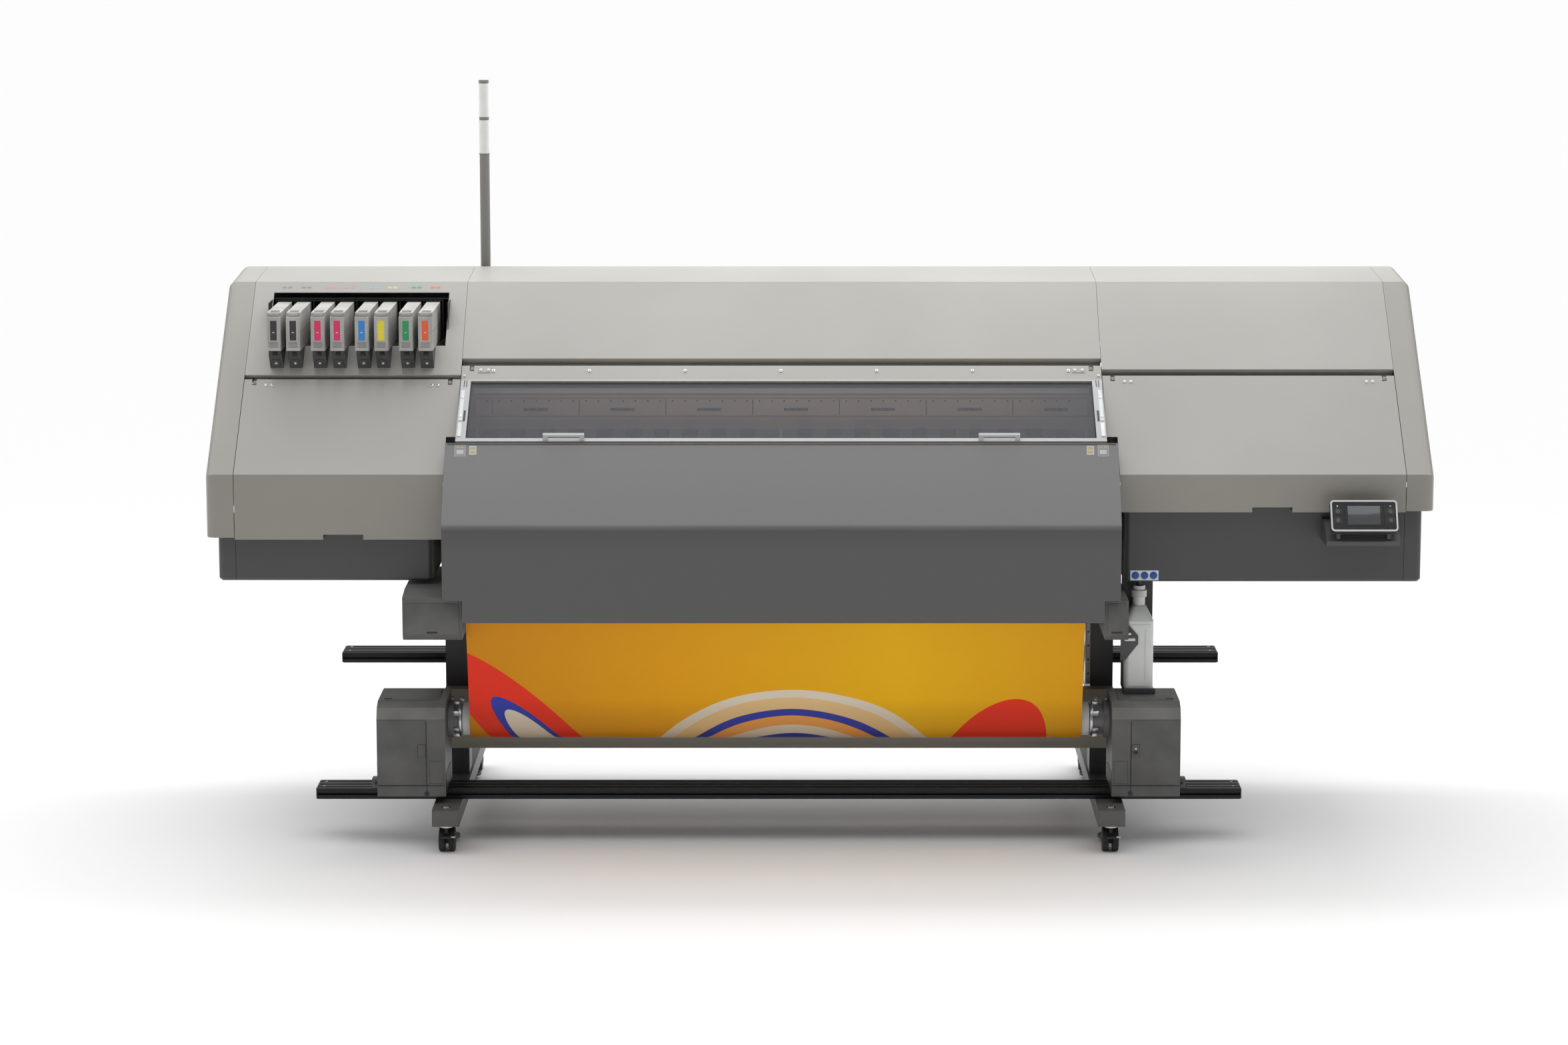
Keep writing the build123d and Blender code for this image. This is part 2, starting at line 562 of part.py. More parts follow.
# ---- Carriage and capping station ---------------------------------------------------------
CAP_LEFT = 950.0
CAP_WIDTH = 250.0
CAP_FRONT = -232.0
CARRIAGE_WIDTH = 200.0
CARRIAGE_GAP = 7.0
CARRIAGE_FRONT = CAP_FRONT + 2.0
CARRIAGE_BACK = GUIDE_FRONT - RAIL_RIB - SEAT
CARRIAGE_HEEL = FEED_Y - 15.0
CARRIAGE_TOP = PLATEN_Z + 160.0
CARRIAGE_BEVEL = (80.0, 55.0)
CARRIAGE_STEP = PLATEN_Z + 75.0
CAP_COUNT = 4
CAP_PITCH = 46.0
CAP_SIZE = 30.0
CAP_MARGIN = 40.0
with BuildPart() as carriage:
    outline = [
        (CARRIAGE_FRONT, PLATEN_Z + CARRIAGE_GAP),
        (CARRIAGE_FRONT, CARRIAGE_TOP - CARRIAGE_BEVEL[1]),
        (CARRIAGE_FRONT + CARRIAGE_BEVEL[0], CARRIAGE_TOP),
        (CARRIAGE_BACK, CARRIAGE_TOP),
        (CARRIAGE_BACK, CARRIAGE_STEP),
        (CARRIAGE_HEEL, CARRIAGE_STEP),
        (CARRIAGE_HEEL, PLATEN_Z + CARRIAGE_GAP),
    ]
    start = CAP_LEFT + (CAP_WIDTH - CARRIAGE_WIDTH) / 2
    bar(outline, start, start + CARRIAGE_WIDTH)
save(carriage, "carriage")

with BuildPart() as capping_station:
    cap_base = PLATEN_Z - 10
    block(CAP_LEFT, CAP_LEFT + CAP_WIDTH, CAP_FRONT, FEED_Y + 20, BED_TOP, cap_base)
    for index in range(CAP_COUNT):
        start = CAP_LEFT + CAP_MARGIN + index * CAP_PITCH
        block(start, start + CAP_SIZE, CAP_FRONT + 20, FEED_Y - 20, cap_base,
              PLATEN_Z + CARRIAGE_GAP / 2)
save(capping_station, "capping_station")

# ---- Upper covers -------------------------------------------------------------------------
LEFT_SPLIT = run_at(1207.0)
LEFT_DOOR_TOP = LEFT_SPLIT + 15.0
RIGHT_SPLIT = run_at(1220.0)
RIGHT_DOOR_TOP = RIGHT_SPLIT + 22.0
CENTER_SPLIT = run_at(1245.0)
LID_TOP = CENTER_SPLIT + 25.0
TOP_REAR = (BODY_REAR, REAR_TOP_Z)
TOP_BEND = (BEND_Y, BEND_Z)


def upper_cover(left, right, split, hinge_run):
    """Top sheet, slanted sheet and recessed lip, with the lugs of the panel below it."""
    path = [
        TOP_REAR,
        TOP_BEND,
        on_slant(split),
        on_slant(split, LIP_DEPTH),
        on_slant(split + LIP_LENGTH, LIP_DEPTH),
    ]
    bar(sheet(path), left, right)
    hinge_lugs(left, right, hinge_run)


PANEL_RIGHT = LID_LEFT - SEAM
OPENING_LEFT = CARTRIDGE_FIRST_X - 12.0
PAIR_COUNT = CARTRIDGE_COUNT // 2
CARTRIDGES_RIGHT = CARTRIDGE_FIRST_X + (PAIR_COUNT - 1) * PAIR_PITCH + TWIN_PITCH + CARTRIDGE_WIDTH
OPENING_RIGHT = CARTRIDGES_RIGHT + 24.0
OPENING_TOP = 1400.0
OPENING_BOTTOM = CARTRIDGE_Z - 2.0
with BuildPart() as cartridge_panel:
    upper_cover(COVER_LEFT, PANEL_RIGHT, LEFT_SPLIT, LEFT_DOOR_TOP + HINGE_DROP)
    block(OPENING_LEFT, OPENING_RIGHT, BODY_FRONT, BEND_Y, OPENING_BOTTOM, OPENING_TOP, Mode.SUBTRACT)
save(cartridge_panel, "cartridge_panel")

with BuildPart() as center_top_cover:
    upper_cover(LID_LEFT, LID_RIGHT, CENTER_SPLIT, LID_TOP + HINGE_DROP)
save(center_top_cover, "center_top_cover")

RIGHT_COVER_LEFT = LID_RIGHT + SEAM
with BuildPart() as right_top_cover:
    upper_cover(RIGHT_COVER_LEFT, COVER_RIGHT, RIGHT_SPLIT, RIGHT_DOOR_TOP + HINGE_DROP)
save(right_top_cover, "right_top_cover")

REAR_COVER_BOTTOM = 700.0
VENT_WIDTH = 120.0
VENT_HEIGHT = 12.0
VENT_PITCH = 400.0
VENT_HEIGHTS = (1100.0, 1160.0, 1220.0)
with BuildPart() as rear_cover:
    block(COVER_LEFT, COVER_RIGHT, BODY_REAR - SHEET, BODY_REAR, REAR_COVER_BOTTOM,
          REAR_TOP_Z - SHEET - SEAT)
    for z in VENT_HEIGHTS:
        for column in range(-3, 4):
            x = column * VENT_PITCH
            block(x - VENT_WIDTH / 2, x + VENT_WIDTH / 2, BODY_REAR - SHEET, BODY_REAR, z,
                  z + VENT_HEIGHT, Mode.SUBTRACT)
save(rear_cover, "rear_cover")

BAND_BOTTOM = 942.0
BAND_TOP = 972.0
BAND_DEPTH = 2.0


def outer_edges(builder, outward, bottom):
    """Edges round the outermost face of an end cover, apart from its bottom edge."""
    face = builder.faces().sort_by(Axis.X)[-1 if outward > 0 else 0]
    return face.edges().filter_by(lambda edge: edge.center().Z > bottom + 1)


LEFT_END_BOTTOM = LEFT_BODY_BOTTOM + 5.0
RIGHT_END_BOTTOM = RIGHT_BODY_BOTTOM + 3.0
for side, outward, bottom in (("left", -1, LEFT_END_BOTTOM), ("right", 1, RIGHT_END_BOTTOM)):
    seam = outward * (BODY_HALF - END_COVER_WIDTH + SEAM)
    edge = outward * BODY_HALF
    outline = [TOP_REAR, TOP_BEND, (BODY_FRONT, CREASE_Z), (BODY_FRONT, bottom), (BODY_REAR, bottom)]
    cavity = shifted(outline[:4], SHEET) + [(BODY_REAR - SHEET, bottom - SHEET)]
    cavity[0] = (BODY_REAR - SHEET, cavity[0][1])
    cavity[3] = (cavity[3][0], bottom - SHEET)
    with BuildPart() as hollow:
        bar(cavity, seam - outward, edge - outward * SHEET)
        fillet(outer_edges(hollow, outward, bottom), END_COVER_FILLET - SHEET)
    with BuildPart() as end_cover:
        bar(outline, seam, edge)
        fillet(outer_edges(end_cover, outward, bottom), END_COVER_FILLET)
        band = (BODY_FRONT + END_COVER_FILLET, BODY_REAR - END_COVER_FILLET)
        block(edge, edge - outward * BAND_DEPTH, *band, BAND_BOTTOM, BAND_TOP, Mode.SUBTRACT)
        add(hollow.part, mode=Mode.SUBTRACT)
    save(end_cover, f"end_cover_{side}")

# ---- Doors and lower shells ---------------------------------------------------------------
COVER_TOP_Y = -330.0
COVER_TOP_Z = 1060.0
DRYER_LEFT = PATH_X - 864.5
DRYER_RIGHT = PATH_X + 880.5
DOOR_STEP_Z = COVER_TOP_Z + 6.0
DOOR_CLEARANCE = 3.0
RECESS_WIDTH = 104.0
RECESS_HEIGHT = 13.0
LEFT_RECESS_X = -1288.0
RIGHT_RECESS_X = 1120.0
DOOR_LIP = 14.0


def door(left, right, top_run, bottom, step_x, keep_side, recess_x):
    """Bent door sheet, stepped beside the dryer cover, with a finger recess below."""
    path = [on_slant(top_run), (BODY_FRONT, CREASE_Z), (BODY_FRONT, bottom)]
    bar(sheet(path), left, right)
    lip = rectangle(BODY_FRONT, BODY_FRONT + DOOR_LIP, bottom, bottom + SHEET)
    bar(lip, left, right)
    inner = right if keep_side == "left" else left
    block(step_x, inner, BODY_FRONT - OVERCUT, 0, bottom - OVERCUT, DOOR_STEP_Z, Mode.SUBTRACT)
    block(recess_x, recess_x + RECESS_WIDTH, BODY_FRONT - OVERCUT, BODY_FRONT + DOOR_LIP + OVERCUT,
          bottom - OVERCUT, bottom + RECESS_HEIGHT, Mode.SUBTRACT)
    hinge_knuckles(left - SEAM, right + SEAM, top_run + HINGE_DROP, top_run)


with BuildPart() as left_door:
    door(COVER_LEFT + SEAM, PANEL_RIGHT - SEAM, LEFT_DOOR_TOP, LEFT_BODY_BOTTOM,
         DRYER_LEFT - DOOR_CLEARANCE, "left", LEFT_RECESS_X)
save(left_door, "left_door")

with BuildPart() as right_door:
    door(RIGHT_COVER_LEFT + SEAM, COVER_RIGHT - SEAM, RIGHT_DOOR_TOP, RIGHT_BODY_BOTTOM,
         DRYER_RIGHT + DOOR_CLEARANCE, "right", RIGHT_RECESS_X)
save(right_door, "right_door")

SHELL_LEG_GAP = 5.0
SHELL_OVERLAP = 14.0
SHELL_FILLET = 16.0
for side, left, right, bottom, top in (
    ("left", -BODY_HALF + SHELL_INSET, LEG_LEFT_X - COLUMN_WIDTH / 2 - SHELL_LEG_GAP,
     LEFT_SHELL_BOTTOM, LEFT_BODY_BOTTOM + SHELL_OVERLAP),
    ("right", LEG_RIGHT_X + COLUMN_WIDTH / 2 + SHELL_LEG_GAP, BODY_HALF - SHELL_INSET,
     RIGHT_SHELL_BOTTOM, RIGHT_BODY_BOTTOM + SHELL_OVERLAP),
):
    with BuildPart() as shell:
        block(left, right, SHELL_FRONT, SHELL_REAR, bottom, top)
        fillet(shell.edges().filter_by(Axis.Z), SHELL_FILLET)
        chamfer(shell.faces().sort_by(Axis.Z)[0].edges(), SHELL_RIM)
        block(left + SHEET, right - SHEET, SHELL_FRONT + SHEET + SHELL_RIM, SHELL_REAR - SHEET - SHELL_RIM,
              bottom + SHEET, top, Mode.SUBTRACT)
        inner = right if side == "left" else left
        block(inner - SHEET - OVERCUT, inner + SHEET + OVERCUT, BED_FRONT - SEAT, BED_REAR + SEAT,
              BED_BOTTOM - SEAT, top, Mode.SUBTRACT)
    save(shell, f"lower_shell_{side}")

# ---- Dryer cover --------------------------------------------------------------------------
DRYER_BEND = (-466.0, 867.0)
DRYER_BOTTOM = 612.6
DRYER_CORNER = 670.7
DRYER_CORNER_LEFT = DRYER_LEFT + 51.0
DRYER_CORNER_RIGHT = DRYER_RIGHT - 41.0
CHEEK_BACK = BODY_FRONT + 8.0
DRYER_BRACKET = 30.0
with BuildPart() as dryer_cover:
    front_path = [(COVER_TOP_Y, COVER_TOP_Z), DRYER_BEND, (DRYER_BEND[0], DRYER_BOTTOM)]
    bar(sheet(front_path), DRYER_LEFT, DRYER_RIGHT)
    cheek = [
        (COVER_TOP_Y, COVER_TOP_Z),
        DRYER_BEND,
        (DRYER_BEND[0], DRYER_CORNER),
        (CHEEK_BACK, DRYER_CORNER),
        (CHEEK_BACK, SIDE_NOSE),
        (PLATEN_FRONT - SEAT, SIDE_NOSE),
        (PLATEN_FRONT - SEAT, COVER_TOP_Z - 6),
    ]
    for x in (DRYER_LEFT, DRYER_RIGHT - SHEET):
        bar(cheek, x, x + SHEET)
    for x in (DRYER_LEFT + SHEET, DRYER_RIGHT - SHEET - DRYER_BRACKET):
        block(x, x + DRYER_BRACKET, PLATEN_FRONT - SEAT - SHEET, PLATEN_FRONT - SEAT, SIDE_NOSE, PLATEN_Z)
    for left, right in ((DRYER_LEFT, DRYER_CORNER_LEFT), (DRYER_CORNER_RIGHT, DRYER_RIGHT)):
        block(left, right, DRYER_BEND[0] - OVERCUT, BODY_FRONT, DRYER_BOTTOM - OVERCUT,
              DRYER_CORNER, Mode.SUBTRACT)
save(dryer_cover, "dryer_cover")

# ---- Window lid ---------------------------------------------------------------------------
PANE_TOP_RUN = LID_TOP + 47.0
LID_FRONT = (-324.0, 1064.0)
LID_SIDE = 26.0
LID_TOP_BAR = 6.0
LID_BOTTOM_BAR = 12.0
LID_WEB = 12.0
PANE_THICKNESS = 4.0
PANE_SINK = 2.0
LID_THICKNESS = 8.0
pane_y, pane_z = on_slant(PANE_TOP_RUN)
PANE_LENGTH = hypot(pane_y - LID_FRONT[0], pane_z - LID_FRONT[1])
PANE_DY = (pane_y - LID_FRONT[0]) / PANE_LENGTH
PANE_DZ = (pane_z - LID_FRONT[1]) / PANE_LENGTH


def on_pane(run, depth=0.0):
    """Point on the window slope: run down from its top, depth into the machine."""
    return (pane_y - PANE_DY * run + PANE_DZ * depth, pane_z - PANE_DZ * run - PANE_DY * depth)


HANDLE_WIDTH = 107.0
HANDLE_RISE = 18.0
HANDLE_SIDE = 12.0
HANDLE_TOP = 6.0
HANDLE_NOSE = 4.0
HANDLE_XS = (-718.0, 412.0)
with BuildPart() as window_frame:
    frame_path = [on_slant(LID_TOP), on_slant(PANE_TOP_RUN), LID_FRONT]
    left = LID_LEFT + SEAM
    right = LID_RIGHT - SEAM
    bar(sheet(frame_path, 0, LID_THICKNESS), left, right)
    hollow = [
        on_pane(LID_TOP_BAR, -OVERCUT),
        on_pane(PANE_LENGTH - LID_BOTTOM_BAR, -OVERCUT),
        on_pane(PANE_LENGTH - LID_BOTTOM_BAR, LID_THICKNESS + OVERCUT),
        on_pane(LID_TOP_BAR, LID_THICKNESS + OVERCUT),
    ]
    bar(hollow, left + LID_SIDE, right - LID_SIDE, Mode.SUBTRACT)
    thin = [
        on_slant(LID_TOP - OVERCUT, SHEET),
        on_slant(PANE_TOP_RUN - LID_WEB, SHEET),
        on_slant(PANE_TOP_RUN - LID_WEB, LIP_DEPTH),
        on_slant(LID_TOP - OVERCUT, LIP_DEPTH),
    ]
    bar(thin, left, right, Mode.SUBTRACT)
    hinge_knuckles(LID_LEFT, LID_RIGHT, LID_TOP + HINGE_DROP, LID_TOP)
    for x in HANDLE_XS:
        loop = [
            on_pane(PANE_LENGTH - LID_BOTTOM_BAR, -HANDLE_RISE),
            on_pane(PANE_LENGTH - HANDLE_NOSE, -HANDLE_RISE),
            on_pane(PANE_LENGTH, 0),
            on_pane(PANE_LENGTH - LID_BOTTOM_BAR, 0),
        ]
        bar(loop, x, x + HANDLE_WIDTH)
        grip = [
            on_pane(PANE_LENGTH - LID_BOTTOM_BAR - OVERCUT, HANDLE_TOP - HANDLE_RISE),
            on_pane(PANE_LENGTH + OVERCUT, HANDLE_TOP - HANDLE_RISE),
            on_pane(PANE_LENGTH + OVERCUT, 0),
            on_pane(PANE_LENGTH - LID_BOTTOM_BAR - OVERCUT, 0),
        ]
        bar(grip, x + HANDLE_SIDE, x + HANDLE_WIDTH - HANDLE_SIDE, Mode.SUBTRACT)
save(window_frame, "window_frame")

with BuildPart() as window_pane:
    outline = [
        on_pane(LID_TOP_BAR, PANE_SINK),
        on_pane(PANE_LENGTH - LID_BOTTOM_BAR, PANE_SINK),
        on_pane(PANE_LENGTH - LID_BOTTOM_BAR, PANE_SINK + PANE_THICKNESS),
        on_pane(LID_TOP_BAR, PANE_SINK + PANE_THICKNESS),
    ]
    bar(outline, left + LID_SIDE, right - LID_SIDE)
save(window_pane, "window_pane")

# ---- Ink supply ---------------------------------------------------------------------------
BAY_REAR = 200.0
BAY_FLOOR = 6.0
DIVIDER = 3.0
CARTRIDGE_BEVEL = 2.0
CATCH_LENGTH = 14.0
CATCH_HEIGHT = 10.0
cartridge_xs = []
for pair in range(PAIR_COUNT):
    for twin in range(2):
        cartridge_xs.append(CARTRIDGE_FIRST_X + pair * PAIR_PITCH + twin * TWIN_PITCH)

for number, x in enumerate(cartridge_xs, 1):
    with BuildPart() as cartridge:
        block(x, x + CARTRIDGE_WIDTH, CARTRIDGE_FRONT, CARTRIDGE_FRONT + CARTRIDGE_LENGTH,
              CARTRIDGE_Z, CARTRIDGE_Z + CARTRIDGE_HEIGHT)
        chamfer(cartridge.faces().sort_by(Axis.Y)[0].edges(), CARTRIDGE_BEVEL)
        cartridge_top = CARTRIDGE_Z + CARTRIDGE_HEIGHT
        block(x, x + CARTRIDGE_WIDTH, CARTRIDGE_FRONT, CARTRIDGE_FRONT + CATCH_LENGTH,
              cartridge_top - CATCH_HEIGHT, cartridge_top, Mode.SUBTRACT)
    save(cartridge, f"ink_cartridge_{number}")

FLOOR_TOP = CARTRIDGE_Z - SEAT
BAY_SIDE = 8.0
BAY_LEFT = CARTRIDGE_FIRST_X - BAY_SIDE
BAY_RIGHT = CARTRIDGES_RIGHT + BAY_SIDE
BAY_CLEARANCE = 4 * SHEET
BAY_POST = 10.0
BAY_POSTS = (BAY_LEFT + 140.0, BAY_RIGHT - 150.0)
floor_front = on_slant(run_at(FLOOR_TOP - BAY_FLOOR), BAY_CLEARANCE)[0]
bay_front = on_slant(run_at(CARTRIDGE_Z + CARTRIDGE_HEIGHT + 6), BAY_CLEARANCE)[0]
with BuildPart() as cartridge_bay:
    block(BAY_LEFT, BAY_RIGHT, floor_front, BAY_REAR, FLOOR_TOP - BAY_FLOOR, FLOOR_TOP)
    bay_top = CARTRIDGE_Z + CARTRIDGE_HEIGHT + 2
    block(BAY_LEFT, BAY_RIGHT, bay_front, BAY_REAR, bay_top, bay_top + SHEET)
    block(BAY_LEFT, BAY_RIGHT, BAY_REAR - SHEET, BAY_REAR, FLOOR_TOP, bay_top)
    for x in (BAY_LEFT, BAY_RIGHT - DIVIDER):
        block(x, x + DIVIDER, bay_front, BAY_REAR, FLOOR_TOP, bay_top)
    for x in cartridge_xs[:-1]:
        start = x + CARTRIDGE_WIDTH + (TWIN_PITCH - CARTRIDGE_WIDTH - DIVIDER) / 2
        block(start, start + DIVIDER, bay_front, BAY_REAR, FLOOR_TOP, bay_top)
    for x in BAY_POSTS:
        block(x, x + BAY_POST, GUIDE_FRONT + 30, GUIDE_REAR, GUIDE_TOP, FLOOR_TOP - BAY_FLOOR)
save(cartridge_bay, "cartridge_bay")

GUIDE_TIP = -125.0
GUIDE_FOOT_Z = 1223.0
GUIDE_LIP = 14.0
with BuildPart() as cartridge_guides:
    for x in cartridge_xs:
        support = [
            on_slant(run_at(GUIDE_FOOT_Z)),
            on_slant(run_at(OPENING_BOTTOM)),
            (on_slant(run_at(OPENING_BOTTOM))[0], FLOOR_TOP),
            (GUIDE_TIP, FLOOR_TOP),
            (GUIDE_TIP - 3, FLOOR_TOP - GUIDE_LIP),
        ]
        bar(support, x + 1, x + CARTRIDGE_WIDTH - 1)
save(cartridge_guides, "cartridge_guides")

# ---- Operator panel -----------------------------------------------------------------------
CONSOLE_X = 1398.0
CONSOLE_WIDTH = 172.0
CONSOLE_HEIGHT = 84.0
CONSOLE_DEPTH = 18.0
CONSOLE_FOOT = (-462.0, 852.0)
CONSOLE_TILT = 29.0
HINGE_BAR_R = 5.0
BASE_WIDTH = 189.0
console_plane = Plane(
    origin=(CONSOLE_X, CONSOLE_FOOT[0], CONSOLE_FOOT[1]),
    x_dir=(1, 0, 0),
    z_dir=(0, -cos(radians(CONSOLE_TILT)), sin(radians(CONSOLE_TILT))),
)
pivot_y = CONSOLE_FOOT[0] + 28.0
pivot_z = CONSOLE_FOOT[1] - 2.0
BARREL_HALF = 60.0
BRACKET_WIDTH = 10.0
CONSOLE_CORNER = 9.0
SCREEN_WIDTH = 102.0
SCREEN_HEIGHT = 60.0
SCREEN_RISE = 2.0
SCREEN_SINK = 1.5
WEB_LENGTH = 8.0
WEB_HALF = 4.0
WEB_RISE = 6.0
KEY_R = 6.0
KEY_POCKET = 5.0
KEY_PROUD = 2.0
KEY_XS = (-68.0, 68.0)
KEY_YS = (30.0, 54.0)
with BuildPart() as control_panel:
    with BuildSketch(console_plane) as console_outline:
        with Locations((0, CONSOLE_HEIGHT / 2)):
            RectangleRounded(CONSOLE_WIDTH, CONSOLE_HEIGHT, CONSOLE_CORNER)
    extrude(amount=-CONSOLE_DEPTH)
    with BuildSketch(console_plane) as screen_recess:
        with Locations((0, CONSOLE_HEIGHT / 2 + SCREEN_RISE)):
            Rectangle(SCREEN_WIDTH, SCREEN_HEIGHT)
    extrude(amount=-SCREEN_SINK, mode=Mode.SUBTRACT)
    with BuildSketch(console_plane) as key_holes:
        for x in KEY_XS:
            for y in KEY_YS:
                with Locations((x, y)):
                    Circle(KEY_R + RUNNING_FIT)
    extrude(amount=-KEY_POCKET, mode=Mode.SUBTRACT)
    web_y = pivot_y - WEB_LENGTH * cos(radians(CONSOLE_TILT))
    web_z = pivot_z + WEB_LENGTH * sin(radians(CONSOLE_TILT))
    web = [
        (web_y, web_z - WEB_HALF),
        (pivot_y, pivot_z - WEB_HALF),
        (pivot_y, pivot_z + WEB_HALF),
        (web_y, web_z + WEB_RISE),
    ]
    bar(web, CONSOLE_X - BARREL_HALF, CONSOLE_X + BARREL_HALF)
    pin_half = BARREL_HALF + BRACKET_WIDTH - 2
    rod(CONSOLE_X - pin_half, CONSOLE_X + pin_half, pivot_y, pivot_z, HINGE_BAR_R)
save(control_panel, "control_panel")

key_number = 0
for x in KEY_XS:
    for y in KEY_YS:
        key_number += 1
        with BuildPart() as key:
            with BuildSketch(console_plane.offset(KEY_PROUD - KEY_POCKET)) as cap:
                with Locations((x, y)):
                    Circle(KEY_R)
            extrude(amount=KEY_POCKET)
        save(key, f"panel_key_{key_number}")

BASE_BOTTOM = pivot_z - 42.0
BRACKET_BOTTOM = pivot_z - 22.0
BRACKET_FRONT = pivot_y - 7.0
BRACKET_REAR = pivot_y + 9.0
BRACKET_TOP = pivot_z + 7.0
with BuildPart() as panel_base:
    base_outline = [
        (SHELL_FRONT, BASE_BOTTOM),
        (SHELL_FRONT, pivot_z + 16),
        (SHELL_FRONT - 40, pivot_z + 10),
        (pivot_y + 8, pivot_z - 12),
        (pivot_y - 6, pivot_z - 28),
        (pivot_y + 4, BASE_BOTTOM),
    ]
    bar(base_outline, CONSOLE_X - BASE_WIDTH / 2, CONSOLE_X + BASE_WIDTH / 2)
    bracket = [
        (BRACKET_FRONT, BRACKET_BOTTOM),
        (BRACKET_REAR, BRACKET_BOTTOM),
        (BRACKET_REAR, BRACKET_TOP),
        (BRACKET_FRONT + 9, BRACKET_TOP),
        (BRACKET_FRONT, pivot_z - 9),
    ]
    for x in (CONSOLE_X - BARREL_HALF - BRACKET_WIDTH, CONSOLE_X + BARREL_HALF + SEAT):
        bar(bracket, x, x + BRACKET_WIDTH - SEAT)
        rod(x, x + BRACKET_WIDTH - SEAT, pivot_y, pivot_z, HINGE_BAR_R + RUNNING_FIT, Mode.SUBTRACT)
save(panel_base, "panel_base")

# ---- Service boxes, waste ink and signal tower --------------------------------------------
SERVICE_BOTTOM = 563.0
SERVICE_TOP = 667.0
SERVICE_FRONT = -450.0
SERVICE_BEVEL = 12.0
SERVICE_CROWN = 20.0
SERVICE_SLOPE_RUN = 70.0
SERVICE_SLOPE_RISE = 9.0
SERVICE_GAP = 3.0
with BuildPart() as service_box_left:
    outline = [
        (COLUMN_FRONT, SERVICE_BOTTOM),
        (COLUMN_FRONT, SERVICE_TOP + SERVICE_CROWN),
        (SERVICE_FRONT + SERVICE_SLOPE_RUN, SERVICE_TOP + SERVICE_CROWN),
        (SERVICE_FRONT, SERVICE_TOP + SERVICE_SLOPE_RISE),
        (SERVICE_FRONT, SERVICE_BOTTOM + SERVICE_BEVEL),
        (SERVICE_FRONT + SERVICE_BEVEL, SERVICE_BOTTOM),
    ]
    bar(outline, DRYER_LEFT - 104.5, DRYER_CORNER_LEFT - SERVICE_GAP)
    block(DRYER_LEFT - 2, DRYER_CORNER_LEFT, SERVICE_FRONT - OVERCUT, COLUMN_FRONT, SERVICE_TOP,
          SERVICE_TOP + SERVICE_CROWN + OVERCUT, Mode.SUBTRACT)
save(service_box_left, "service_box_left")

with BuildPart() as service_box_right:
    outline = [
        (COLUMN_FRONT, SERVICE_BOTTOM),
        (COLUMN_FRONT, SERVICE_TOP),
        (SERVICE_FRONT, SERVICE_TOP),
        (SERVICE_FRONT, SERVICE_BOTTOM + SERVICE_BEVEL),
        (SERVICE_FRONT + SERVICE_BEVEL, SERVICE_BOTTOM),
    ]
    bar(outline, DRYER_CORNER_RIGHT + SERVICE_GAP, DRYER_RIGHT + 22.0)
save(service_box_right, "service_box_right")

TRAY_LEFT = LEG_RIGHT_X + COLUMN_WIDTH / 2 + 12
TRAY_WIDTH = 82.0
TRAY_BOTTOM = 389.0
TRAY_BACK = -196.0
BOTTLE_X = TRAY_LEFT + TRAY_WIDTH / 2
BOTTLE_Y = -250.0
BOTTLE_WIDTH = 73.0
BOTTLE_DEPTH = 86.0
BOTTLE_SHOULDER = 580.0
NECK_R = 16.0
NECK_TOP = 669.0
BOTTLE_CORNER = 12.0
SHOULDER_RISE = 36.0
NECK_WALL = 4.0
NECK_BORE = 60.0
TUBE_R = 6.0
TUBE_LENGTH = 30.0
TRAY_LIP = 14.0
TRAY_FRONT = BOTTLE_Y - 50.0
TRAY_HOOD = BOTTLE_Y - 20.0
with BuildPart() as bottle_tray:
    tray = (TRAY_LEFT, TRAY_LEFT + TRAY_WIDTH)
    block(*tray, TRAY_BACK - SHEET, TRAY_BACK, TRAY_BOTTOM, RIGHT_SHELL_BOTTOM)
    block(*tray, TRAY_FRONT, TRAY_BACK, TRAY_BOTTOM, TRAY_BOTTOM + SHEET)
    block(*tray, TRAY_FRONT - SHEET, TRAY_FRONT, TRAY_BOTTOM, TRAY_BOTTOM + TRAY_LIP)
    block(*tray, TRAY_HOOD, TRAY_BACK, RIGHT_SHELL_BOTTOM - SHEET, RIGHT_SHELL_BOTTOM)
    post(BOTTLE_X, BOTTLE_Y, NECK_TOP - TUBE_LENGTH, RIGHT_SHELL_BOTTOM - SHEET, TUBE_R)
save(bottle_tray, "bottle_tray")

with BuildPart() as waste_bottle:
    with BuildSketch(Plane.XY.offset(TRAY_BOTTOM + SHEET)) as bottle_base:
        with Locations((BOTTLE_X, BOTTLE_Y)):
            RectangleRounded(BOTTLE_WIDTH, BOTTLE_DEPTH, BOTTLE_CORNER)
    extrude(amount=BOTTLE_SHOULDER - TRAY_BOTTOM - SHEET)
    with BuildSketch(Plane.XY.offset(BOTTLE_SHOULDER)) as shoulder_low:
        with Locations((BOTTLE_X, BOTTLE_Y)):
            RectangleRounded(BOTTLE_WIDTH, BOTTLE_DEPTH, BOTTLE_CORNER)
    with BuildSketch(Plane.XY.offset(BOTTLE_SHOULDER + SHOULDER_RISE)) as shoulder_high:
        with Locations((BOTTLE_X, BOTTLE_Y)):
            RectangleRounded(2 * NECK_R + NECK_WALL, 2 * NECK_R + NECK_WALL, BOTTLE_CORNER)
    loft()
    post(BOTTLE_X, BOTTLE_Y, BOTTLE_SHOULDER + SHOULDER_RISE, NECK_TOP, NECK_R)
    post(BOTTLE_X, BOTTLE_Y, NECK_TOP - NECK_BORE, NECK_TOP, NECK_R - NECK_WALL, Mode.SUBTRACT)
save(waste_bottle, "waste_bottle")

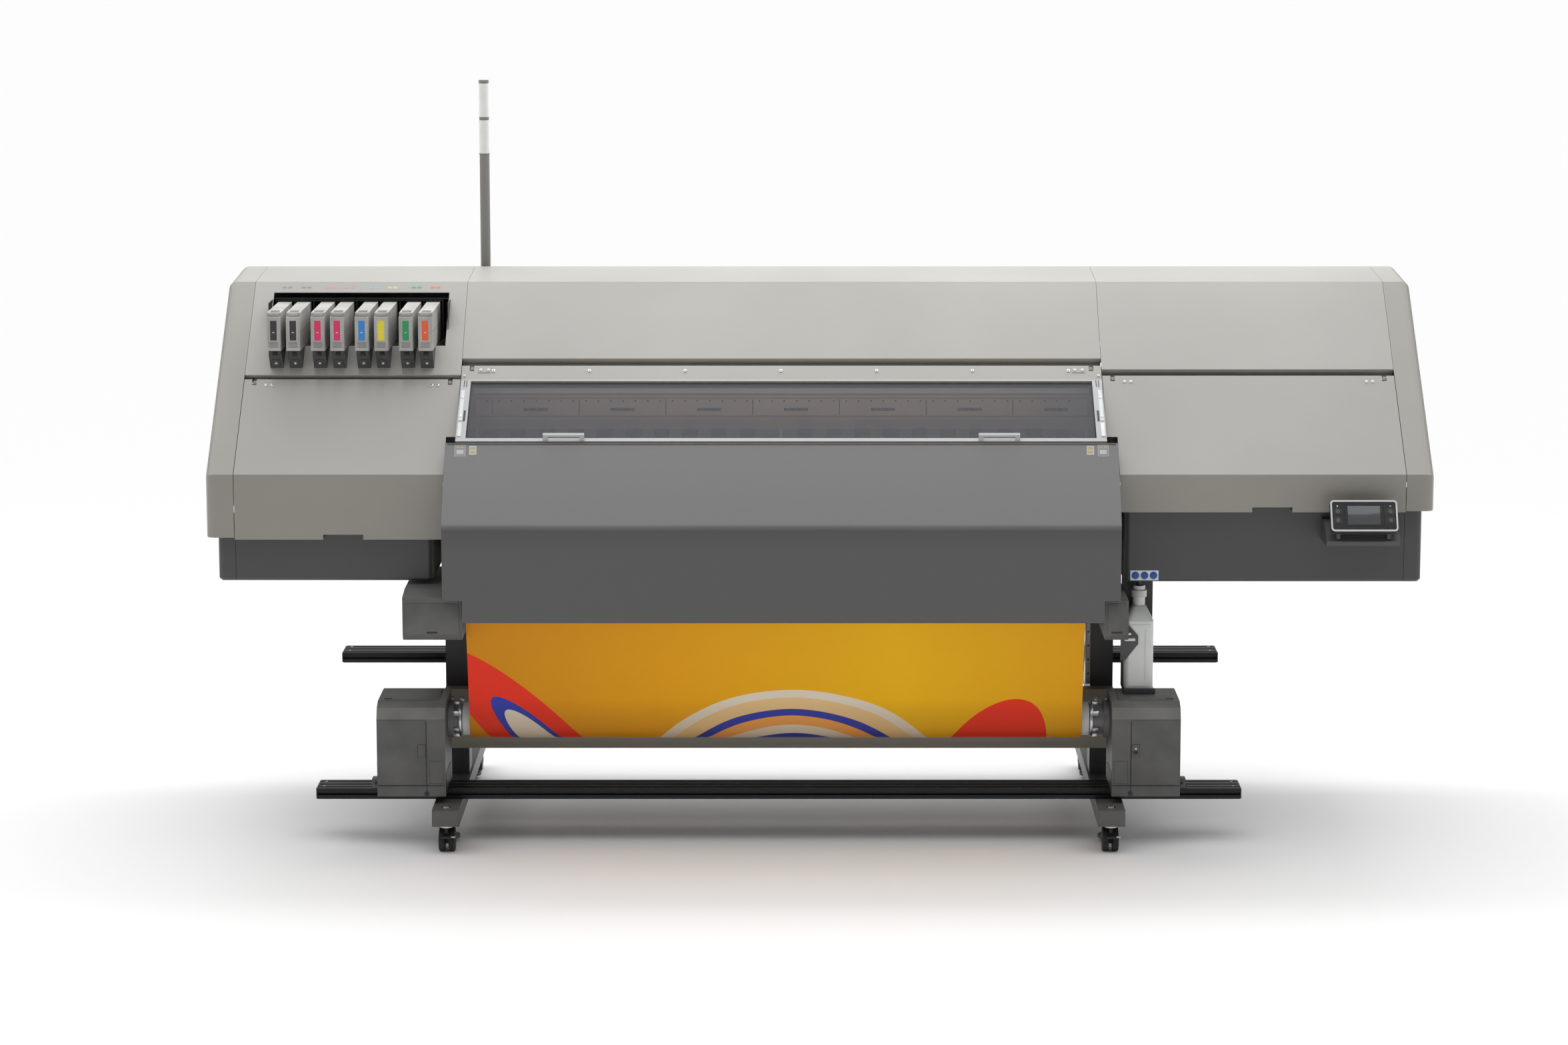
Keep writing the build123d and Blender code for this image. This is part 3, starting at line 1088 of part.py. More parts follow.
TOWER_X = -920.0
TOWER_Y = 385.0
TOWER_R = 14.4
TOWER_FOOT = 1330.0
LENS_BOTTOM = 1750.0
LENS_HEIGHT = 92.0
RING_HEIGHT = 9.0
TOWER_BRACKET_HALF = 20.0
TOWER_BRACKET_HEIGHT = 60.0
POLE_R = TOWER_R - 0.8
RING_R = TOWER_R - 1.0
CAP_R = TOWER_R - 0.4
ring_z = LENS_BOTTOM + LENS_HEIGHT
upper_lens_z = ring_z + RING_HEIGHT
cap_z = upper_lens_z + LENS_HEIGHT
with BuildPart() as signal_tower:
    block(TOWER_X - TOWER_BRACKET_HALF, TOWER_X + TOWER_BRACKET_HALF, BODY_REAR, TOWER_Y,
          TOWER_FOOT, TOWER_FOOT + TOWER_BRACKET_HEIGHT)
    post(TOWER_X, TOWER_Y, TOWER_FOOT, LENS_BOTTOM, POLE_R)
    post(TOWER_X, TOWER_Y, LENS_BOTTOM, ring_z, TOWER_R)
    post(TOWER_X, TOWER_Y, ring_z, upper_lens_z, RING_R)
    post(TOWER_X, TOWER_Y, upper_lens_z, cap_z, TOWER_R)
    post(TOWER_X, TOWER_Y, cap_z, cap_z + RING_HEIGHT, CAP_R)
save(signal_tower, "signal_tower")
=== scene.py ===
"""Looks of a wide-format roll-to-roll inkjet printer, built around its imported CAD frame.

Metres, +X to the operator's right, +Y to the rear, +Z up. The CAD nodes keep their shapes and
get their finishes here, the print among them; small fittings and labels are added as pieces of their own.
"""

import json
import logging
import math
from collections.abc import Callable
from dataclasses import dataclass, field
from enum import Enum

import bmesh
import bpy
from mathutils import Matrix, Vector
from mathutils.bvhtree import BVHTree

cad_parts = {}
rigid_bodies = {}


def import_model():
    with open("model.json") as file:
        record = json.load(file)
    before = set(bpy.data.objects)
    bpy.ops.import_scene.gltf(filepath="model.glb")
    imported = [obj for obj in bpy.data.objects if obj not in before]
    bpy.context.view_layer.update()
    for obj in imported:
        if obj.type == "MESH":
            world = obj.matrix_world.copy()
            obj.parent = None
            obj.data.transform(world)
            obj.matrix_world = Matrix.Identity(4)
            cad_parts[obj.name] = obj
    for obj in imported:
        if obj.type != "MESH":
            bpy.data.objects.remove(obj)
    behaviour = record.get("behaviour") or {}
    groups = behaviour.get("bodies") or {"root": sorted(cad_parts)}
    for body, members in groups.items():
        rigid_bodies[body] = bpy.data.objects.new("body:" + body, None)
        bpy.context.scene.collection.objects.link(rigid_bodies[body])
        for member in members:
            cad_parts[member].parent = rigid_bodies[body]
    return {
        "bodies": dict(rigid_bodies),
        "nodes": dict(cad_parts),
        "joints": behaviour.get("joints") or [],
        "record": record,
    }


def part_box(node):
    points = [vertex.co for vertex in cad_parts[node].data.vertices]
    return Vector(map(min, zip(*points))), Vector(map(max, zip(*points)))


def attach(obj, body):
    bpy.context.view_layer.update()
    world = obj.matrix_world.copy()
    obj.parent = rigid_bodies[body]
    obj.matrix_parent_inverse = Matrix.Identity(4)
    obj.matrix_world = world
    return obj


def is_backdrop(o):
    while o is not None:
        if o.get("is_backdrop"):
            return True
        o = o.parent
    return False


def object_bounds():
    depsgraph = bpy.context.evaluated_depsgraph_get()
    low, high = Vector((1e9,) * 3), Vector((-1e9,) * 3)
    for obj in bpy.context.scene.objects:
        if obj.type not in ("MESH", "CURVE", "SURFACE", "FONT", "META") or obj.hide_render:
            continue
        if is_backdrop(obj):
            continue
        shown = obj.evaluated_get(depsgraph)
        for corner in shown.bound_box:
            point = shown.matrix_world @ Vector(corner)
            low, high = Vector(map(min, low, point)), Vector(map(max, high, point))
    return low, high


log = logging.getLogger("printer")
logging.basicConfig(level=logging.INFO, format="%(name)s: %(message)s")

Colour = tuple[float, float, float]
Span = tuple[float, float]
FaceTest = Callable[[Vector, Vector], bool]
Socket = bpy.types.NodeSocket
Material = bpy.types.Material
UP = Vector((0, 0, 1))
BACKWARD = Vector((0, 1, 0))
FORWARD = Vector((0, -1, 0))
BEVEL_ANGLE = 0.6
SHARP_ANGLE = math.radians(32)
RAY_START = 3.0


class Side(Enum):
    """The operator's left or right, as a sign along X."""

    LEFT = -1
    RIGHT = 1


class Turn(Enum):
    """Axis that a turned piece is round."""

    X = "X"
    Y = "Y"
    Z = "Z"


# ---- Finishes -----------------------------------------------------------------------------


class NodeSheet:
    """A material's node tree, with short ways to add and join nodes."""

    def __init__(self, name: str) -> None:
        """Start an empty material with a principled shader.

        Args:
            name: the material's name.
        """
        self.material = bpy.data.materials.new(name)
        self.material.use_nodes = True
        self.tree = self.material.node_tree
        self.shader = self.tree.nodes["Principled BSDF"]
        self.place = self.add("ShaderNodeTexCoord").outputs["Object"]

    def add(self, kind: str, **settings: object) -> bpy.types.Node:
        """Add a node and set its properties.

        Args:
            kind: the node's type name.
            **settings: properties of the node.

        Returns:
            The new node.
        """
        node = self.tree.nodes.new(kind)
        for key, value in settings.items():
            setattr(node, key, value)
        return node

    def join(self, source: Socket, target: Socket) -> None:
        """Link one socket to another."""
        self.tree.links.new(source, target)

    def stretched(self, scale: tuple[float, float, float]) -> Socket:
        """Object coordinates scaled along each axis.

        Args:
            scale: the scale along X, Y and Z.

        Returns:
            The mapped vector socket.
        """
        mapping = self.add("ShaderNodeMapping")
        mapping.inputs["Scale"].default_value = scale
        self.join(self.place, mapping.inputs["Vector"])
        return mapping.outputs["Vector"]

    def noise(self, scale: float, detail: float = 3.0,
              place: Socket | None = None) -> Socket:
        """Noise value over the piece.

        Args:
            scale: cells per metre.
            detail: octaves of noise.
            place: coordinates to read, or None for the object's own.

        Returns:
            The noise value socket.
        """
        texture = self.add("ShaderNodeTexNoise")
        texture.inputs["Scale"].default_value = scale
        texture.inputs["Detail"].default_value = detail
        self.join(place or self.place, texture.inputs["Vector"])
        return texture.outputs["Fac"]

    def ranged(self, value: Socket, low: float, high: float) -> Socket:
        """Map a 0 to 1 value to a new range.

        Args:
            value: the socket to map.
            low: result at 0.
            high: result at 1.

        Returns:
            The mapped socket.
        """
        node = self.add("ShaderNodeMapRange")
        node.inputs["To Min"].default_value = low
        node.inputs["To Max"].default_value = high
        self.join(value, node.inputs["Value"])
        return node.outputs["Result"]

    def math(self, operation: str, first: Socket,
             second: Socket | float) -> Socket:
        """Do a sum on two values.

        Args:
            operation: the maths node's operation.
            first: first value.
            second: second value, a socket or a number.

        Returns:
            The result socket.
        """
        node = self.add("ShaderNodeMath", operation=operation)
        self.join(first, node.inputs[0])
        if isinstance(second, (int, float)):
            node.inputs[1].default_value = second
        else:
            self.join(second, node.inputs[1])
        return node.outputs[0]

    def ramp(self, value: Socket, stops: list[tuple[float, Colour]],
             interpolation: str = "LINEAR") -> Socket:
        """Colour ramp over a value.

        Args:
            value: the value to colour.
            stops: positions and colours, in order.
            interpolation: how the ramp moves between stops.

        Returns:
            The colour socket.
        """
        node = self.add("ShaderNodeValToRGB")
        node.color_ramp.interpolation = interpolation
        elements = node.color_ramp.elements
        while len(elements) < len(stops):
            elements.new(0.5)
        for element, (position, colour) in zip(elements, stops):
            element.position = position
            element.color = (*colour, 1)
        self.join(value, node.inputs["Fac"])
        return node.outputs["Color"]

    def mix(self, amount: Socket, first: Socket,
            second: Socket) -> Socket:
        """Mix two colours.

        Args:
            amount: share of the second colour.
            first: colour at 0.
            second: colour at 1.

        Returns:
            The mixed colour socket.
        """
        node = self.add("ShaderNodeMix", data_type="RGBA")
        self.join(amount, node.inputs["Factor"])
        self.join(first, node.inputs["A"])
        self.join(second, node.inputs["B"])
        return node.outputs["Result"]

    def bump(self, height: Socket, depth: float) -> None:
        """Let a height value roughen the surface.

        Args:
            height: the height socket.
            depth: bump distance in metres.
        """
        node = self.add("ShaderNodeBump")
        node.inputs["Distance"].default_value = depth
        node.inputs["Strength"].default_value = 0.6
        self.join(height, node.inputs["Height"])
        self.join(node.outputs["Normal"], self.shader.inputs["Normal"])


@dataclass(frozen=True)
class Paint:
    """Powder coat on sheet metal: fine orange peel, slight colour drift and dust."""

    name: str
    colour: Colour
    roughness: float = 0.42
    grain: float = 900.0
    depth: float = 0.00012
    drift: float = 0.06
    coat: float = 0.0

    def material(self) -> Material:
        """Build the painted finish.

        Returns:
            The material.
        """
        sheet = NodeSheet(self.name)
        light = tuple(min(1.0, c * (1 + self.drift)) for c in self.colour)
        deep = tuple(c * (1 - self.drift) for c in self.colour)
        cloud = sheet.noise(1.7, 4)
        sheet.join(sheet.ramp(cloud, [(0.3, deep), (0.7, light)]), sheet.shader.inputs["Base Color"])
        fine = sheet.noise(self.grain, 2)
        smear = sheet.noise(6.0, 6)
        rough = sheet.math("ADD", sheet.ranged(smear, -0.05, 0.05),
                           sheet.ranged(fine, self.roughness - 0.04, self.roughness + 0.04))
        sheet.join(rough, sheet.shader.inputs["Roughness"])
        sheet.shader.inputs["Specular IOR Level"].default_value = 0.45
        sheet.shader.inputs["Coat Weight"].default_value = self.coat
        sheet.bump(fine, self.depth)
        return sheet.material


@dataclass(frozen=True)
class PaintWithPaintedBendShade:
    """Satin paint on a sheet with a soft bend, with light and shade painted in: a lit colour above the bend
    that brightens towards the top, a shaded colour below it, and painted shade darkest just below the bend.
    """

    name: str
    upper: Colour
    lower: Colour
    bend: float
    top: float
    foot: float
    roughness: float = 0.36

    def material(self) -> Material:
        """Build the bent sheet's finish, with its painted light and shade.

        Returns:
            The material.
        """
        sheet = NodeSheet(self.name)
        axes = sheet.add("ShaderNodeSeparateXYZ")
        sheet.join(sheet.place, axes.inputs["Vector"])
        height = sheet.add("ShaderNodeMapRange")
        height.inputs["From Min"].default_value = self.foot
        height.inputs["From Max"].default_value = self.top
        cloud = sheet.ranged(sheet.noise(3.0, 3), -0.004, 0.004)
        sheet.join(sheet.math("ADD", axes.outputs["Z"], cloud), height.inputs["Value"])
        share = (self.bend - self.foot) / (self.top - self.foot)
        # Painted highlight towards the top of the slope, and painted shade just below the bend where the
        # sheet turns away from the light.
        bright = tuple(c * 1.12 for c in self.upper)
        deep = tuple(c * 0.78 for c in self.lower)
        stops = [(0.0, self.lower), (share - 0.16, self.lower), (share - 0.030, deep),
                 (share + 0.012, self.upper), (1.0, bright)]
        sheet.join(sheet.ramp(height.outputs["Result"], stops), sheet.shader.inputs["Base Color"])
        fine = sheet.noise(900.0, 2)
        sheet.join(sheet.ranged(fine, self.roughness - 0.05, self.roughness + 0.05),
                   sheet.shader.inputs["Roughness"])
        sheet.shader.inputs["Coat Weight"].default_value = 0.2
        sheet.bump(fine, 0.00012)
        return sheet.material


@dataclass(frozen=True)
class Moulding:
    """Spark-eroded plastic moulding with a fine leathery grain."""

    name: str
    colour: Colour
    roughness: float = 0.5
    grain: float = 1400.0
    depth: float = 0.0002

    def material(self) -> Material:
        """Build the moulded finish.

        Returns:
            The material.
        """
        sheet = NodeSheet(self.name)
        light = tuple(min(1.0, c * 1.12 + 0.004) for c in self.colour)
        deep = tuple(c * 0.88 for c in self.colour)
        cells = sheet.add("ShaderNodeTexVoronoi")
        cells.inputs["Scale"].default_value = self.grain
        sheet.join(sheet.place, cells.inputs["Vector"])
        patch = sheet.noise(14.0, 5)
        sheet.join(sheet.ramp(patch, [(0.35, deep), (0.65, light)]), sheet.shader.inputs["Base Color"])
        sheet.join(sheet.ranged(patch, self.roughness - 0.07, self.roughness + 0.07),
                   sheet.shader.inputs["Roughness"])
        sheet.bump(cells.outputs["Distance"], self.depth)
        return sheet.material


@dataclass(frozen=True)
class Metal:
    """Drawn, brushed or anodised metal with lines along one axis."""

    name: str
    colour: Colour
    roughness: float = 0.3
    lines: tuple[float, float, float] = (3.0, 900.0, 900.0)
    metallic: float = 1.0

    def material(self) -> Material:
        """Build the metal finish.

        Returns:
            The material.
        """
        sheet = NodeSheet(self.name)
        strokes = sheet.noise(1.0, 3, sheet.stretched(self.lines))
        deep = tuple(c * 0.8 for c in self.colour)
        light = tuple(min(1.0, c * 1.1) for c in self.colour)
        sheet.join(sheet.ramp(strokes, [(0.3, deep), (0.7, light)]), sheet.shader.inputs["Base Color"])
        sheet.join(sheet.ranged(strokes, self.roughness - 0.08, self.roughness + 0.1),
                   sheet.shader.inputs["Roughness"])
        sheet.shader.inputs["Metallic"].default_value = self.metallic
        sheet.bump(strokes, 0.00005)
        return sheet.material


@dataclass(frozen=True)
class Rubber:
    """Matt rubber with a faint scuffed bloom."""

    name: str
    colour: Colour = (0.02, 0.02, 0.02)

    def material(self) -> Material:
        """Build the rubber finish.

        Returns:
            The material.
        """
        sheet = NodeSheet(self.name)
        bloom = sheet.noise(60.0, 6)
        scuffed = tuple(c + 0.035 for c in self.colour)
        sheet.join(sheet.ramp(bloom, [(0.45, self.colour), (0.8, scuffed)]),
                   sheet.shader.inputs["Base Color"])
        sheet.join(sheet.ranged(bloom, 0.65, 0.9), sheet.shader.inputs["Roughness"])
        sheet.bump(sheet.noise(1200.0, 2), 0.0001)
        return sheet.material


@dataclass(frozen=True)
class TintedPane:
    """Grey tinted clear sheet with faint handling smears."""

    name: str
    colour: Colour = (0.17, 0.175, 0.20)
    alpha: float = 0.26

    def material(self) -> Material:
        """Build the window finish.

        Returns:
            The material.
        """
        sheet = NodeSheet(self.name)
        smear = sheet.noise(9.0, 7)
        sheet.join(sheet.ramp(smear, [(0.2, self.colour), (0.8, tuple(c * 1.12 for c in self.colour))]),
                   sheet.shader.inputs["Base Color"])
        sheet.join(sheet.ranged(smear, 0.03, 0.06), sheet.shader.inputs["Roughness"])
        sheet.shader.inputs["Alpha"].default_value = self.alpha
        sheet.shader.inputs["IOR"].default_value = 1.49
        return sheet.material


@dataclass(frozen=True)
class Translucent:
    """Natural polyethylene or a frosted lens: light passes a little way in."""

    name: str
    colour: Colour
    roughness: float = 0.35
    depth: float = 0.006

    def material(self) -> Material:
        """Build the translucent finish.

        Returns:
            The material.
        """
        sheet = NodeSheet(self.name)
        cloud = sheet.noise(22.0, 4)
        deep = tuple(c * 0.93 for c in self.colour)
        sheet.join(sheet.ramp(cloud, [(0.3, deep), (0.7, self.colour)]),
                   sheet.shader.inputs["Base Color"])
        sheet.shader.inputs["Roughness"].default_value = self.roughness
        sheet.shader.inputs["Subsurface Weight"].default_value = 0.35
        sheet.shader.inputs["Subsurface Radius"].default_value = (self.depth,) * 3
        sheet.shader.inputs["Subsurface Scale"].default_value = 1.0
        sheet.bump(sheet.noise(300.0, 2), 0.0001)
        return sheet.material


@dataclass(frozen=True)
class PrintedWeb:
    """Satin vinyl, bare behind an edge and with an abstract print of striped arcs in front of it, darkened
    towards the web's foot and over the wound roll by painted shade.
    """

    name: str
    middle: float
    foot: float
    edge: float

    def material(self) -> Material:
        """Build the printed finish.

        Returns:
            The material.
        """
        sheet = NodeSheet(self.name)
        axes = sheet.add("ShaderNodeSeparateXYZ")
        sheet.join(sheet.place, axes.inputs["Vector"])
        across, height = axes.outputs["X"], axes.outputs["Z"]
        glow = sheet.math("MULTIPLY", sheet.math("SUBTRACT", across, self.middle - 0.8), 0.625)
        ground = sheet.ramp(glow, [(0.0, (0.72, 0.27, 0.0)), (0.35, (0.90, 0.40, 0.0)),
                                   (0.7, (0.98, 0.53, 0.0)), (1.0, (0.86, 0.40, 0.0))])
        # Painted shade: the print darkens towards the web's foot and stays dark over the wound roll below
        # it.
        fall = sheet.math("MULTIPLY", sheet.math("SUBTRACT", height, self.foot - 0.03), 7.0)
        shade = sheet.ramp(fall, [(0.0, (0.62, 0.56, 0.5)), (0.8, (1.0, 1.0, 1.0))])
        colour = ground
        cream, blue, red = (0.86, 0.76, 0.62), (0.03, 0.05, 0.45), (0.92, 0.03, 0.01)
        orange, sand = (0.98, 0.42, 0.10), (0.90, 0.62, 0.30)
        arch = [(0.0, blue), (0.58, cream), (0.66, orange), (0.74, blue), (0.80, sand), (0.90, cream)]
        ribbon = [(0.0, cream), (0.40, blue), (0.52, red)]
        lobe = [(0.0, blue), (0.45, red)]
        motifs = (
            (self.middle + 0.045, self.foot - 0.20, 0.44, 1.35, 0.0, arch),
            (self.middle - 0.60, self.foot - 0.06, 0.30, 1.0, 0.85, ribbon),
            (self.middle + 0.545, self.foot - 0.14, 0.24, 1.0, -0.35, lobe),
        )
        wave = sheet.math("MULTIPLY", sheet.noise(4.0, 1), 0.016)
        for centre, base, radius, squash, lean, stripes in motifs:
            rise = sheet.math("SUBTRACT", height, base)
            dx = sheet.math("ADD", sheet.math("SUBTRACT", across, centre),
                            sheet.math("MULTIPLY", rise, lean))
            dz = sheet.math("MULTIPLY", rise, squash)
            dx = sheet.math("MULTIPLY", dx, 1.0 + 1.6 * abs(lean))
            square = sheet.math("ADD", sheet.math("MULTIPLY", dx, dx), sheet.math("MULTIPLY", dz, dz))
            reach = sheet.math("ADD", sheet.math("SQRT", square, 0.0), wave)
            share = sheet.math("DIVIDE", reach, radius)
            bands = sheet.ramp(share, stripes, "CONSTANT")
            inside = sheet.math("LESS_THAN", share, 0.97)
            colour = sheet.mix(inside, colour, bands)
        darken = sheet.add("ShaderNodeMix", data_type="RGBA", blend_type="MULTIPLY")
        darken.inputs["Factor"].default_value = 1.0
        sheet.join(colour, darken.inputs["A"])
        sheet.join(shade, darken.inputs["B"])
        colour = darken.outputs["Result"]
        vinyl = sheet.add("ShaderNodeRGB")
        vinyl.outputs[0].default_value = (0.82, 0.82, 0.80, 1)
        colour = sheet.mix(sheet.math("GREATER_THAN", axes.outputs["Y"], self.edge), colour,
                           vinyl.outputs[0])
        fleck = sheet.noise(2600.0, 1)
        speckle = sheet.ranged(fleck, 0.0, 0.03)
        paper = sheet.add("ShaderNodeRGB")
        paper.outputs[0].default_value = (1.0, 0.78, 0.30, 1)
        colour = sheet.mix(speckle, colour, paper.outputs[0])
        sheet.join(colour, sheet.shader.inputs["Base Color"])
        sheet.join(sheet.ranged(fleck, 0.34, 0.46), sheet.shader.inputs["Roughness"])
        sheet.shader.inputs["Specular IOR Level"].default_value = 0.2
        sheet.bump(sheet.noise(3.0, 3, sheet.stretched((6.0, 1.0, 0.6))), 0.0008)
        return sheet.material


@dataclass
class Palette:
    """Every finish of the printer, built once and shared."""

    middle: float
    base: float
    edge: float
    bend: float
    top: float
    foot: float
    made: dict[str, Material] = field(default_factory=dict)

    def build(self) -> None:
        """Make all the materials."""
        finishes = [
            Paint("warm_grey", (0.455, 0.448, 0.42), 0.36, coat=0.15),
            # taupe: a darker paint for the fascias, made darker still as painted shade of faces that get
            # less light from above.
            Paint("taupe", (0.295, 0.282, 0.25), 0.38, coat=0.15),
            Paint("charcoal", (0.062, 0.062, 0.064), 0.4, coat=0.1),
            Paint("end_taupe", (0.39, 0.378, 0.345), 0.38, coat=0.15),
            Paint("slant_grey", (0.42, 0.41, 0.385), 0.38, coat=0.15),
            Paint("beam_grey", (0.50, 0.50, 0.52), 0.4),
            Paint("fascia_grey", (0.62, 0.62, 0.64), 0.36),
            Paint("silver_bright", (0.74, 0.75, 0.76), 0.28, coat=0.4),
            Paint("console_silver", (0.72, 0.72, 0.71), 0.22, coat=0.5),
            Paint("key_grey", (0.10, 0.10, 0.105), 0.4),
            Paint("tower_grey", (0.262, 0.258, 0.246), 0.38),
            Paint("seam_black", (0.025, 0.025, 0.026), 0.5),
            Paint("chuck_grey", (0.16, 0.16, 0.165), 0.35),
            Paint("core_card", (0.60, 0.60, 0.58), 0.6),
            Paint("mark_grey", (0.32, 0.32, 0.32), 0.4),
            Paint("mark_sand", (0.55, 0.44, 0.20), 0.4),
            Paint("mark_pink", (0.72, 0.32, 0.42), 0.4),
            Paint("mark_cyan", (0.30, 0.55, 0.72), 0.4),
            Paint("mark_yellow", (0.72, 0.66, 0.25), 0.4),
            Paint("mark_green", (0.10, 0.45, 0.25), 0.4),
            Paint("mark_red", (0.75, 0.22, 0.16), 0.4),
            Paint("label_blue_dark", (0.015, 0.09, 0.34), 0.35),
            # The dryer's upper and lower colours are lit and shaded copies of one dark paint: painted light
            # on the slope, painted shade on the front.
            PaintWithPaintedBendShade("dryer", (0.195, 0.195, 0.199), (0.086, 0.086, 0.089), self.bend, self.top, self.foot),
            Paint("silver_white", (0.48, 0.49, 0.50), 0.3, coat=0.2),
            Paint("stand_black", (0.045, 0.045, 0.048), 0.42),
            Paint("stand_grey", (0.115, 0.113, 0.110), 0.42),
            Paint("crossbar_taupe", (0.36, 0.34, 0.285), 0.4),
            Paint("screen_grey", (0.095, 0.098, 0.105), 0.12, coat=0.6),
            Moulding("housing", (0.105, 0.104, 0.102), 0.46),
            # Lighter copy of the housing moulding for faces that look up: painted light from above.
            Moulding("housing_light", (0.18, 0.178, 0.172), 0.42),
            Moulding("black_plastic", (0.016, 0.016, 0.017), 0.42),
            Moulding("guide_grey", (0.07, 0.07, 0.068), 0.45),
            Moulding("cartridge", (0.47, 0.465, 0.44), 0.42, 900.0, 0.00012),
            # Darker copy of the cartridge moulding: painted shade on the grip and top ribs, and the dark
            # side seams.
            Moulding("cartridge_shade", (0.26, 0.255, 0.24), 0.45, 900.0, 0.00012),
            Moulding("white_plastic", (0.75, 0.75, 0.73), 0.4),
            Moulding("light_plate", (0.55, 0.55, 0.55), 0.4),
            Metal("rail_black", (0.022, 0.022, 0.023), 0.34, metallic=0.7),
            Metal("clear_aluminium", (0.62, 0.63, 0.65), 0.3),
            Metal("steel", (0.58, 0.58, 0.60), 0.24),
            Metal("zinc", (0.70, 0.70, 0.70), 0.34, (400.0, 400.0, 400.0)),
            Rubber("rubber"),
            Rubber("grey_rubber", (0.10, 0.10, 0.105)),
            TintedPane("tinted_pane"),
            Translucent("polyethylene", (0.80, 0.82, 0.80)),
            Translucent("lens", (0.93, 0.94, 0.92), 0.18, 0.01),
            PrintedWeb("printed_web", self.middle, self.base, self.edge),
            Paint("blank_media", (0.82, 0.82, 0.80), 0.5, drift=0.02),
            Paint("label_black", (0.012, 0.012, 0.012), 0.3, coat=0.4),
            Paint("label_magenta", (0.70, 0.008, 0.12), 0.3, coat=0.4),
            Paint("label_blue", (0.01, 0.22, 0.62), 0.3, coat=0.4),
            Paint("label_yellow", (0.80, 0.66, 0.01), 0.3, coat=0.4),
            Paint("label_green", (0.005, 0.28, 0.10), 0.3, coat=0.4),
            Paint("label_orange", (0.85, 0.10, 0.01), 0.3, coat=0.4),
        ]
        for finish in finishes:
            self.made[finish.name] = finish.material()
        log.info("finishes: %d", len(self.made))

    def __getitem__(self, name: str) -> Material:
        """The finish of that name."""
        return self.made[name]


# ---- Modelling helpers --------------------------------------------------------------------


def turned(axis: Turn) -> Matrix:
    """Rotation that lays a shape made along Z on another axis.

    Args:
        axis: the wanted axis.

    Returns:
        The rotation matrix.
    """
    if axis is Turn.X:
        return Matrix.Rotation(math.pi / 2, 4, "Y")
    if axis is Turn.Y:
        return Matrix.Rotation(-math.pi / 2, 4, "X")
    return Matrix.Identity(4)


